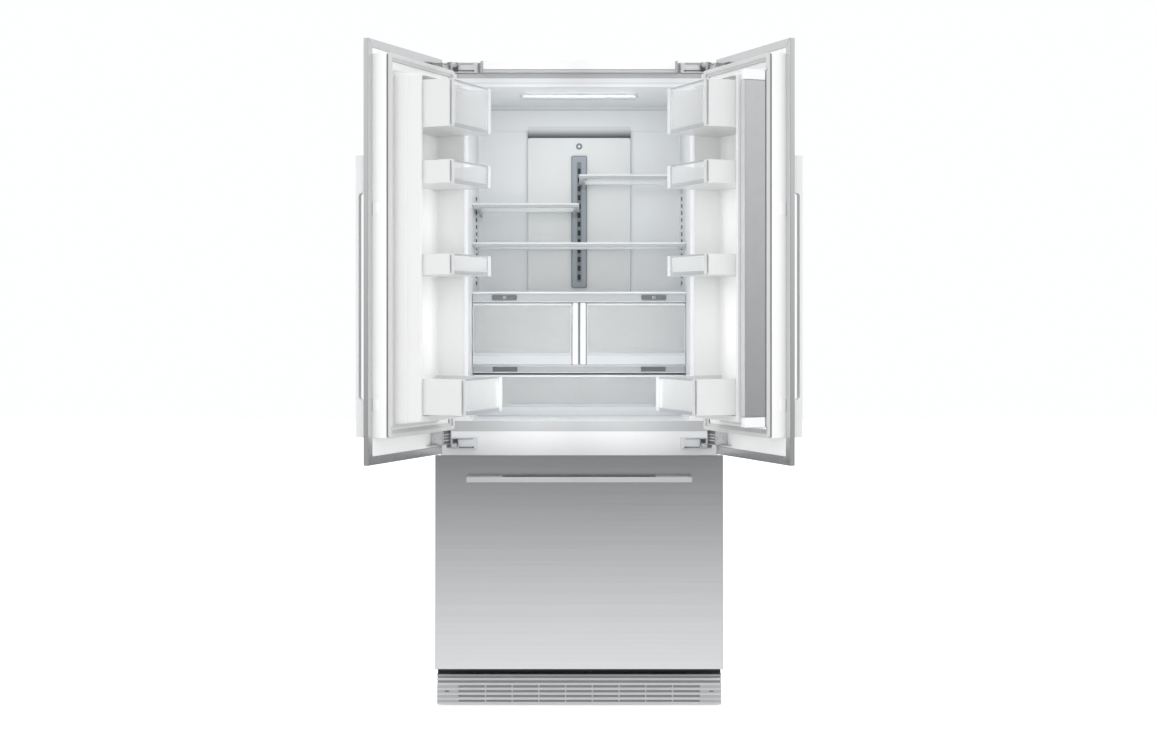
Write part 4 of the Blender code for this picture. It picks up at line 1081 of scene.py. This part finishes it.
def crisperParts(low, high, base):
    # clear tub with a rolled rim, a frosted base band across its front and fine ribs above that
    wall = tub["wall"]
    x0, y0, z0 = low
    x1, y1, z1 = high
    outer = [(0.006, z0), (0.0018, z0 + 0.0012), (0, z0 + 0.005), (0, z1 - 0.001), (0.0006, z1),
        (wall - 0.0006, z1), (wall, z1 - 0.001), (wall, z0 + wall + 0.003), (wall + 0.004, z0 + wall)]
    parts = Shapes()
    parts.loft("clear", (x0, y0 + 0.004), (x1, y1), outer, 0.01, "z")
    parts.block("clear", (x0 + 0.002, y0 + 0.001, z0 + base), (x1 - 0.002, y0 + 0.0042, z1 - 0.007), 0.001,
        "y")
    parts.block("shelfTrim", (x0, y0, z1 - tub["rim"]), (x1, y0 + 0.01, z1), 0.0026, "y", 0.003)
    parts.block("tubTrim", (x0, y0, z0), (x1, y0 + 0.006, z0 + base), 0.002, "y", 0.003)
    parts.block("clearEdge", (x0 + 0.002, y0 + 0.0004, z0 + base - 0.001),
        (x1 - 0.002, y0 + 0.005, z0 + base + 0.01), 0.001, "y")
    for rib in range(tub["ribs"]):
        z = z0 + base + 0.014 + rib * 0.004
        parts.block("clearEdge", (x0 + 0.006, y0 + 0.0003, z), (x1 - 0.006, y0 + 0.0016, z + 0.0012), 0.0004,
            "y")
    for x in (x0, x1 - 0.006):
        parts.block("clearEdge", (x, y0, z0 + base - 0.001), (x + 0.006, y0 + 0.005, z1 - tub["rim"]), 0.0015,
            "y")
    return parts


divider = {"slit": 0.003, "post": 0.02}


def chilledDrawers():
    # the three drawers, the humidity sliders and the posts between the crispers
    for node in ("left_crisper", "right_crisper", "deli_drawer"):
        low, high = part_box(node)
        piece(node.replace("_", "") + "Tub", crisperParts(low, high, tub["base"]), node, "clear_plastic",
            [node])
    for hand in sides:
        node = hand + "_humidity_slider"
        low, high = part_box(node)
        x = (low[0] + high[0]) / 2
        parts = Shapes()
        parts.block("sliderDark", low, high, 0.0012, "y", 0.003)
        for grip in (x - 0.004, x, x + 0.004):
            parts.block("shelfTrim", (grip - 0.0008, low[1] - 0.0003, low[2] + 0.003),
                (grip + 0.0008, low[1] + 0.002, high[2] - 0.003), 0.0004, "y")
        piece(hand + "SliderKnob", parts, node, "trim_grey", [node])
    low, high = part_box("crisper_divider")
    post = low[1] + divider["post"]
    parts = Shapes()
    parts.block("shelfWhite", (-0.01, post - 0.002, low[2]), (0.01, high[1], high[2]), 0.002, "y")
    # dark block in the slit between the two white posts: painted shade in that gap
    parts.block("columnEdge", (-divider["slit"], low[1] + 0.007, low[2]), (divider["slit"], post, high[2]),
        0.001)
    for side in (-1, 1):
        x = sorted((side * divider["slit"], side * high[0]))
        parts.block("shelfWhite", (x[0], low[1], low[2]), (x[1], post, high[2]), 0.004, "z", 0.006)
    piece("dividerPosts", parts, "cabinet", "shelf_white", ["crisper_divider"])


duct = {"deep": 0.015, "column": 0.027, "border": 0.003, "strip": 0.008, "ring": (0.0066, 0.0112),
    "ringAt": 0.03, "foot": 0.032, "head": 0.063, "dashes": 13}


def ductPieces():
    # moulded cover with a slotted column down its middle; the slots are dark dashes, painted shade where the
    # openings are
    low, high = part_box("duct_cover")
    face = high[1] - duct["deep"]
    half = duct["column"]
    parts = Shapes()
    parts.loft("ductGrey", (low[0], low[2]), (high[0], high[2]),
        [(0, -high[1]), (0, -face - 0.003), (0.001, -face - 0.0008), (0.003, -face)], 0.01, "-y", steps=6)
    z0, z1 = low[2] + duct["foot"], high[2] - duct["head"]
    edge = duct["border"]
    parts.loft("columnEdge", (-half, z0), (half, z1), [(0, -face - 0.001), (0, -low[1] - 0.0015),
        (0.0006, -low[1] - 0.0006)], 0.006, "-y")
    parts.loft("columnGrey", (edge - half, z0 + edge), (half - edge, z1 - edge),
        [(0, -low[1] - 0.001), (0.0004, -low[1] - 0.0002), (0.0012, -low[1])], 0.004, "-y")
    strip = duct["strip"]
    parts.block("columnEdge", (-strip, low[1] - 0.0001, z0 + 0.02), (strip, low[1] + 0.002, z1 - 0.022),
        0.0001, "y", 0.003)
    step = (z1 - z0 - 0.06) / duct["dashes"]
    for count in range(duct["dashes"]):
        z = z0 + 0.028 + count * step
        parts.block("darkPlastic", (-strip + 0.003, low[1] - 0.0003, z),
            (strip - 0.003, low[1] + 0.001, z + 0.6 * step), 0.0001, "y", 0.002)
    # plain ring badge over the column
    ringIn, ringOut = duct["ring"]
    middle = (0, high[2] - duct["ringAt"])
    parts.turned("columnEdge", middle, [(ringOut, -face - 0.0001), (ringOut - 0.0004, -face + 0.0006)], "-y",
        28)
    parts.turned("ductGrey", middle, [(ringIn - 0.002, -face), (ringIn - 0.0024, -face + 0.0008)], "-y", 28)
    piece("airDuctCover", parts, "cabinet", "duct_grey", ["duct_cover"])


def lampLens():
    # frosted lens under the ceiling
    low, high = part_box("light_lens")
    section = [(0.0, high[2]), (0.0015, low[2] + 0.004), (0.006, low[2] + 0.0008), (0.012, low[2])]
    parts = Shapes()
    parts.loft("frosted", (low[0], low[1]), (high[0], high[1]), section[::-1], 0.014, "z", steps=6)
    # the bright tube seen through the front of the lens
    middle = (low[1] + 0.016, low[2] + 0.0022)
    parts.turned("lamp", middle, [(0.0012, low[0] + 0.012), (0.0021, low[0] + 0.03), (0.0021, high[0] - 0.03),
        (0.0012, high[0] - 0.012)], "x", 16)
    piece("ceilingLens", parts, "cabinet", "lens", ["light_lens"])


basket = {"wall": 0.003, "runner": 0.012, "rimWide": 0.007, "rimTall": 0.006, "ribs": 9}


def freezerPieces():
    # the freezer drawer with its panel, handle, inner, seal, basket and tray, and the fixed rails
    low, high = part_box("freezer_panel")
    parts = [("stainless", steelTray(low, high))] + [("darkSteel", seam) for seam in mitreSeams(low, high)]
    piece("drawerPanelTray", parts, "freezer_drawer", "stainless", ["freezer_panel"])
    low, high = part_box("freezer_handle")
    piece("drawerBarHandle", handleParts(low, high, "x"), "freezer_drawer", "handle_satin",
        ["freezer_handle"], bevel=handle["bevel"])
    drawerInner()
    low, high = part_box("freezer_gasket")
    piece("drawerMagnetSeal", sealRing(low, high, low[1], high[1]), "freezer_drawer", "seal_grey",
        ["freezer_gasket"])
    keepNode("linerWhite", "freezer_liner")
    freezerBasket()
    low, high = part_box("freezer_tray")
    piece("freezerTrayTub", crisperParts(low, high, tub["trayBase"]), "freezer_tray", "clear_plastic",
        ["freezer_tray"])
    for hand in sides:
        low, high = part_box(hand + "_rail")
        channel = Shapes()
        channel.block("hingeSteel", low, high, 0.0016, "y")
        channel.block("darkSteel", (low[0] - 0.0001, low[1] + 0.01, (low[2] + high[2]) / 2 - 0.002),
            (high[0] + 0.0001, high[1] - 0.01, (low[2] + high[2]) / 2 + 0.002), 0.0001, "x")
        piece(hand + "SlideChannel", channel, "cabinet", "rail_steel", [hand + "_rail"])


def drawerInner():
    # foamed body behind the drawer's steel tray, with a raised panel inside the seal
    low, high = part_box("freezer_door_inner")
    trayLow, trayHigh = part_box("freezer_panel")
    sealLow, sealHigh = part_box("freezer_gasket")
    reach = panel["flange"] + gap
    face, front = trayHigh[1], sealLow[1] - gap
    backing = loft((trayLow[2] + reach, trayLow[0] + reach), (trayHigh[2] - reach, trayHigh[0] - reach),
        [(0, low[1]), (0, face - 0.0008), (0.0008, face)], 0.003, "y")
    bodyLow = (sealLow[2] - 0.001, sealLow[0] - 0.001)
    bodyHigh = (sealHigh[2] + 0.001, sealHigh[0] + 0.001)
    body = loft(bodyLow, bodyHigh, [(0, face + gap), (0, front - 0.004), (0.0012, front - 0.001),
        (0.004, front)], 0.004, "y")
    piece("drawerInnerShell", [("doorWhite", backing), ("doorWhite", body)], "freezer_drawer", "door_white",
        ["freezer_door_inner"])


def freezerBasket():
    # deep front tub and shallow rear tub over the machine room, with a rolled rim and the two slide runners
    low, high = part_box("freezer_basket")
    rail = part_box("left_rail")
    half = -rail[1][0] - gap - basket["runner"]
    y0, y1 = low[1], high[1]
    corners = verticesOf("freezer_basket")
    rearFloor = corners[corners[:, 1] > y1 - 0.001][:, 2].min()
    stepY = corners[corners[:, 2] < low[2] + 0.001][:, 1].max()
    wall = basket["wall"]
    rim = high[2] - basket["rimTall"]
    parts = Shapes()
    for ya, yb, z in ((y0, stepY, low[2]), (stepY - wall + 0.0002, y1, rearFloor)):
        profile = [(0.01, z), (0.003, z + 0.002), (0, z + 0.01), (0, high[2]), (wall, high[2]),
            (wall, z + wall + 0.008), (wall + 0.008, z + wall)]
        parts.loft("basketWhite", (-half, ya), (half, yb), profile, 0.018, "z")
    lip = [(0, rim), (0, high[2] - 0.001), (0.001, high[2]), (basket["rimWide"], high[2]),
        (basket["rimWide"], rim)]
    parts.loft("basketWhite", (-half, y0), (half, y1), lip, 0.018, "z", wrap=True)
    for count in range(basket["ribs"]):
        x = -half + 0.06 + count * (2 * half - 0.12) / (basket["ribs"] - 1)
        parts.block("basketWhite", (x - 0.002, y0 + wall, low[2] + 0.004),
            (x + 0.002, stepY - wall, low[2] + 0.006), 0.0008)
    for side in (-1, 1):
        x = sorted((side * (half - 0.001), side * high[0]))
        z = (rail[0][2] + 0.004, rail[1][2] - 0.004)
        parts.block("hingeSteel", (x[0], y0, z[0]), (x[1], y1, z[1]), 0.0016, "y")
    piece("freezerBasketTub", parts, "freezer_drawer", "white_liner", ["freezer_basket"])


can = {"feet": 0.012, "bead": 0.072, "shoulder": 0.1, "bulge": 0.024, "straps": 0.055, "strap": 0.012,
    "pad": 0.01}


def compressorPiece():
    # domed steel can with a weld bead round its middle, on two rubber footed straps
    low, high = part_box("compressor")
    middle = ((low[0] + high[0]) / 2, (low[1] + high[1]) / 2)
    radius = (high[0] - low[0]) / 2
    base, top = low[2] + can["feet"], high[2]
    t = np.linspace(0, np.pi / 2, 7)
    lower = [(radius * (0.72 + 0.28 * np.sin(a)), base + can["bulge"] * (1 - np.cos(a))) for a in t]
    seam, shoulder = base + can["bead"], base + can["shoulder"]
    narrow, dome = radius - 0.004, top - shoulder
    bead = [(radius, seam), (radius + 0.0001, seam + 0.0005), (narrow, seam + 0.008)]
    upper = [(narrow * (0.3 + 0.7 * np.cos(a)), shoulder + dome * np.sin(a)) for a in t]
    parts = Shapes()
    parts.turned("blackPaint", middle, [(0.001, base)] + lower + bead + upper + [(0.001, top)], "z", 48)
    for x in (middle[0] - can["straps"], middle[0] + can["straps"]):
        strap = ((x - can["strap"], low[1], low[2] + 0.006), (x + can["strap"], high[1], low[2] + 0.016))
        parts.block("blackPaint", *strap, 0.002)
        for y in (low[1] + can["strap"], high[1] - can["strap"]):
            parts.turned("darkPlastic", (x, y), [(can["pad"], low[2]), (can["pad"] + 0.001, low[2] + 0.002),
                (can["pad"] - 0.001, low[2] + 0.006)], "z", 20)
    piece("compressorCan", parts, "cabinet", "black_paint", ["compressor"])


coil = {"fins": 44, "tubes": 6, "deep": 0.05, "tube": 0.0038, "shroud": 0.105, "bore": 0.08, "blades": 5,
    "bladeFrom": 0.012, "bladeTo": 0.071}


def condenserPieces():
    # finned coil with copper tubes, a round fan shroud ahead of it, and a five-bladed fan
    low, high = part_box("condenser")
    fanLow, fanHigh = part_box("condenser_fan")
    centre = ((fanLow[2] + fanHigh[2]) / 2, (fanLow[0] + fanHigh[0]) / 2)
    coilY = high[1] - coil["deep"]
    parts = Shapes()
    for x in np.linspace(low[0] + 0.004, high[0] - 0.0052, coil["fins"]):
        parts.block("coilAluminium", (x, coilY + 0.002, low[2] + 0.004),
            (x + 0.0008, high[1] - 0.001, high[2] - 0.004), 0.0002)
    for z in np.linspace(low[2] + 0.018, high[2] - 0.018, coil["tubes"]):
        for y in (coilY + 0.014, high[1] - 0.014):
            parts.turned("copper", (y, z), [(coil["tube"], low[0] + 0.001), (coil["tube"], high[0] - 0.001)],
                "x", 12)
    for x in (low[0], high[0] - 0.003):
        parts.block("hingeSteel", (x, coilY, low[2]), (x + 0.003, high[1], high[2]), 0.0008)
    shroud = (centre[1] - coil["shroud"], centre[1] + coil["shroud"])
    y0 = low[1]
    ringSteps = (np.arange(32) + 0.5) * np.pi / 16
    square = ring((low[2], shroud[0]), (high[2] - 0.004, shroud[1]), 0.012, 0, 7)[:, :2]
    bore = np.column_stack([centre[0] + coil["bore"] * np.cos(ringSteps),
        centre[1] + coil["bore"] * np.sin(ringSteps)])
    sections = [levelled(bore, coilY - 0.002), levelled(bore, y0), levelled(square, y0 + 0.003),
        levelled(square, coilY - 0.002)]
    parts.append(("darkPlastic", skin(sections, "y", wrap=True)))
    parts.turned("darkPlastic", centre, [(0.016, coilY - 0.016), (0.018, coilY - 0.014),
        (0.018, coilY + 0.002), (0.01, coilY + 0.004)], "y", 28)
    arm = (coilY - 0.012, coilY - 0.004)
    parts.block("darkPlastic", (centre[1] - 0.005, arm[0], low[2] + 0.002),
        (centre[1] + 0.005, arm[1], high[2] - 0.006), 0.0015)
    piece("condenserCoil", parts, "cabinet", "painted_coil", ["condenser"])
    fan = Shapes()
    fan.turned("darkPlastic", centre, [(0.009, fanLow[1] + 0.0005), (0.014, fanLow[1] + 0.002),
        (0.014, fanHigh[1])], "y", 28)
    span = np.linspace(coil["bladeFrom"], coil["bladeTo"], 7)
    chord = np.linspace(-1, 1, 6)
    for count in range(coil["blades"]):
        # a blade: radius outward, chord widening and twisting, cambered in the axial direction
        r, c = np.meshgrid(span, chord, indexing="ij")
        turn = 2 * np.pi * count / coil["blades"] + c * (0.34 + 0.1 * (r / 0.07))
        middleY = (fanLow[1] + fanHigh[1]) / 2
        axial = middleY + 0.003 * c * (1 - 0.35 * r / 0.07) + 0.001 * (1 - c * c)
        blade = sheetShape(centre[0] + r * np.cos(turn), centre[1] + r * np.sin(turn), axial, 0.0008)
        fan.append(("darkPlastic", blade))
    piece("fanBlades", fan, "condenser_fan", "dark_plastic", ["condenser_fan"])


def sheetShape(z, x, y, thick):
    # a closed sheet: the grid of points, and the same grid moved along Y, joined round the rim
    rows, columns = z.shape
    front = np.stack([x, y, z], -1).reshape(-1, 3)
    points = np.concatenate([front, front + np.array([0, thick, 0])])
    index = np.arange(rows * columns).reshape(rows, columns)
    a, b, c, d = index[:-1, :-1], index[1:, :-1], index[1:, 1:], index[:-1, 1:]
    first = np.stack([a, b, c, d], -1).reshape(-1, 4)
    second = (np.stack([d, c, b, a], -1) + rows * columns).reshape(-1, 4)
    rim = np.concatenate([index[0], index[1:, -1], index[-1, -2::-1], index[-2:0:-1, 0]])
    follow = np.roll(rim, -1)
    sideFaces = np.stack([rim, follow, follow + rows * columns, rim + rows * columns], -1)
    faces = np.concatenate([first, second, sideFaces])
    normal = np.cross(front[first[0, 1]] - front[first[0, 0]], front[first[0, 2]] - front[first[0, 0]])
    if normal[1] > 0:
        faces = faces[:, ::-1]
    return points, faces.tolist()


foot = {"thread": 0.006, "from": 0.012, "to": 0.08, "nut": 0.0118}
roller = {"inset": 0.0415, "axle": 0.006, "hub": 0.008, "half": 0.014}


def feetAndRollers():
    # threaded feet at the front and two wheels on an axle at the back
    for hand in sides:
        low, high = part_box(hand + "_foot")
        middle = ((low[0] + high[0]) / 2, (low[1] + high[1]) / 2)
        radius = (high[0] - low[0]) / 2
        parts = Shapes()
        parts.turned("darkPlastic", middle, [(radius - 0.002, 0), (radius, 0.0015), (radius, 0.008),
            (radius - 0.003, 0.012), (0.008, 0.013)], "z", 40)
        parts.turned("hingeSteel", middle, threadProfile(foot["thread"], foot["from"], foot["to"]), "z", 24)
        parts.turned("hingeSteel", middle, [(0.0105, foot["to"]), (foot["nut"], foot["to"] + 0.0012),
            (foot["nut"], high[2] - 0.001), (0.011, high[2])], "z", 6)
        piece(hand + "LevellingFoot", parts, "cabinet", "dark_plastic", [hand + "_foot"])
    low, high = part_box("rear_rollers")
    middle = ((low[1] + high[1]) / 2, (low[2] + high[2]) / 2)
    radius = (high[2] - low[2]) / 2
    parts = Shapes()
    parts.turned("hingeSteel", middle, [(0.0052, low[0]), (roller["axle"], low[0] + 0.001),
        (roller["axle"], high[0] - 0.001), (0.0052, high[0])], "x", 24)
    for side in (-1, 1):
        x, half = side * (high[0] - roller["inset"]), roller["half"]
        wheel = [(roller["hub"], x - half), (radius - 0.003, x - half + 0.001), (radius, x - half + 0.004),
            (radius, x + half - 0.004), (radius - 0.003, x + half - 0.001), (roller["hub"], x + half)]
        parts.turned("darkPlastic", middle, wheel, "x", 40)
    piece("transportRollers", parts, "rear_rollers", "dark_plastic", ["rear_rollers"])


def threadProfile(radius, low, high):
    # rolled thread in outline: radius dips by a tenth at each turn
    return [(radius - 0.0006 * (i % 2), level) for i, level in enumerate(np.linspace(low, high, 81))]


doorPanels()
doorInners()
doorGaskets()
doorBins()
hinges()
mullionPiece()
print("doors made")
cabinetPieces()
headerPieces()
toeGrille()
shelves()
chilledDrawers()
ductPieces()
lampLens()
print("cabinet made")
freezerPieces()
keepNode("coilAluminium", "evaporator")
compressorPiece()
condenserPieces()
feetAndRollers()
print("drawer made")


view = {"distance": 5.14, "height": 1.234, "lens": 51.1, "sensor": 36, "shiftX": -0.001, "shiftY": -0.0484,
    "floorHalf": 14.0, "floorDrop": 0.0002}


def stage():
    # pale floor and the camera
    scene = bpy.context.scene
    size = view["floorHalf"]
    points, faces = skin([ring((-size, -size), (size, size), 0.01, level, 1) for level in (-0.02, 0.0)])
    mesh = bpy.data.meshes.new("studioFloor")
    mesh.from_pydata((points - np.array([0, 0, view["floorDrop"]])).tolist(), [], faces)
    mesh.materials.append(finish("floor"))
    floorTree = finish("floor").node_tree
    seen = addNode(floorTree, "ShaderNodeLightPath").outputs["Is Camera Ray"]
    lift = mathNode(floorTree, "MULTIPLY", seen, finishes["floor"]["lift"])
    floorShader = floorTree.nodes["Principled BSDF"]
    floorShader.inputs["Emission Color"].default_value = (1, 1, 1, 1)
    floorTree.links.new(lift, floorShader.inputs["Emission Strength"])
    floor = bpy.data.objects.new("studioFloor", mesh)
    floor.visible_glossy = False
    scene.collection.objects.link(floor)
    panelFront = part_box("freezer_panel")[0][1]
    camera = bpy.data.cameras.new("viewpoint")
    camera.lens = view["lens"]
    camera.sensor_width = view["sensor"]
    camera.shift_x, camera.shift_y = view["shiftX"], view["shiftY"]
    holder = bpy.data.objects.new("viewpoint", camera)
    holder.location = (0, panelFront - view["distance"], view["height"])
    holder.rotation_euler = (radians(90), 0, 0)
    scene.collection.objects.link(holder)
    scene.camera = holder


lights = {
    "frontFill": {"at": (0, -5.6, 1.9), "look": (0, 0, 1.2), "size": 3.4, "power": 50},
    "leftFill": {"at": (-3.2, -2.6, 1.6), "look": (0, 0.2, 1.1), "size": 2.0, "power": 11},
    "rightFill": {"at": (3.2, -2.6, 1.6), "look": (0, 0.2, 1.1), "size": 2.0, "power": 11},
    "overhead": {"at": (0, -0.6, 4.4), "look": (0, 0, 0), "size": 2.2, "power": 24},
    "leftWell": {"at": (0, -0.3, 1.42), "look": (-1, -0.3, 1.42), "size": 0.2, "tall": 1.1, "power": 1.3},
    "rightWell": {"at": (0, -0.3, 1.42), "look": (1, -0.3, 1.42), "size": 0.2, "tall": 1.1, "power": 1.3},
    "betweenDoors": {"at": (0, -1.35, 1.42), "look": (0, 0, 1.38), "size": 0.8, "power": 1.4},
    "mouth": {"at": (0, -0.24, 1.36), "look": (0, 0.5, 1.34), "size": 0.45, "tall": 0.8, "power": 0.4,
              "spread": 110},
    "lowDrawers": {"at": (0, -0.34, 1.0), "look": (0, 0.5, 0.98), "size": 0.5, "tall": 0.08, "power": 0.1,
                   "spread": 60},
    "cabinetLamp": {"at": (0, 0.186, 1.944), "look": (0, 0.2, 1.2), "size": 0.12, "power": 0.45},
    "crisperLamp": {"at": (0, 0.26, 1.262), "look": (0, 0.26, 1.0), "size": 0.1, "power": 0.18},
}
# brightness of the studio over spans of height: straight ahead, the floor there, the sides, above, as seen
sky = {"aheadSpan": (-0.25, -0.055), "ahead": (1.56, 0.02), "underSpan": (-0.25, -0.42), "under": (1.0, 0.5),
    "sideSpan": (-0.1, 0.14), "side": (0.34, 0.96), "upSpan": (0.12, 0.6), "up": 0.95,
    "narrow": (-0.975, -0.8), "seen": 1.0, "tint": (0.99, 0.995, 1.0)}


def lighting():
    scene = bpy.context.scene
    scene.view_settings.view_transform = "Standard"
    for name, spec in lights.items():
        light = bpy.data.lights.new(name, "AREA")
        light.shape = "RECTANGLE"
        light.size = spec["size"]
        light.size_y = spec.get("tall", spec["size"])
        light.energy = spec["power"]
        light.spread = radians(spec.get("spread", 180))
        holder = bpy.data.objects.new(name, light)
        holder.location = spec["at"]
        aim = Vector(spec["look"]) - Vector(spec["at"])
        holder.rotation_euler = aim.to_track_quat("-Z", "Y").to_euler()
        holder.visible_glossy = False
        holder.visible_camera = False
        scene.collection.objects.link(holder)
    world = bpy.data.worlds.new("studio")
    scene.world = world
    world.use_nodes = True
    studioWalls(world.node_tree)


def ramp(tree, value, span, ends=(0, 1)):
    # value brought from its span to the ends
    return addNode(tree, "ShaderNodeMapRange", {"Value": value, "From Min": span[0], "From Max": span[1],
        "To Min": ends[0], "To Max": ends[1]}).outputs[0]


def blendOf(tree, factor, first, second):
    return addNode(tree, "ShaderNodeMix", {"Factor": factor, "A": first, "B": second}).outputs["Result"]


def studioWalls(tree):
    # brightness by direction: a narrow part straight ahead, the sides, and above; plain to the camera
    toward = addNode(tree, "ShaderNodeTexCoord").outputs["Generated"]
    parts = addNode(tree, "ShaderNodeSeparateXYZ", {0: toward})
    height = parts.outputs["Z"]
    ahead = mathNode(tree, "MULTIPLY", ramp(tree, height, sky["aheadSpan"], sky["ahead"]),
        ramp(tree, height, sky["underSpan"], sky["under"]))
    beside = ramp(tree, height, sky["sideSpan"], sky["side"])
    level = blendOf(tree, ramp(tree, parts.outputs["Y"], sky["narrow"]), ahead, beside)
    walls = blendOf(tree, ramp(tree, height, sky["upSpan"]), level, sky["up"])
    seen = addNode(tree, "ShaderNodeLightPath").outputs["Is Camera Ray"]
    background = tree.nodes["Background"]
    tree.links.new(blendOf(tree, seen, walls, sky["seen"]), background.inputs["Strength"])
    background.inputs["Color"].default_value = (*sky["tint"], 1)


stage()
lighting()
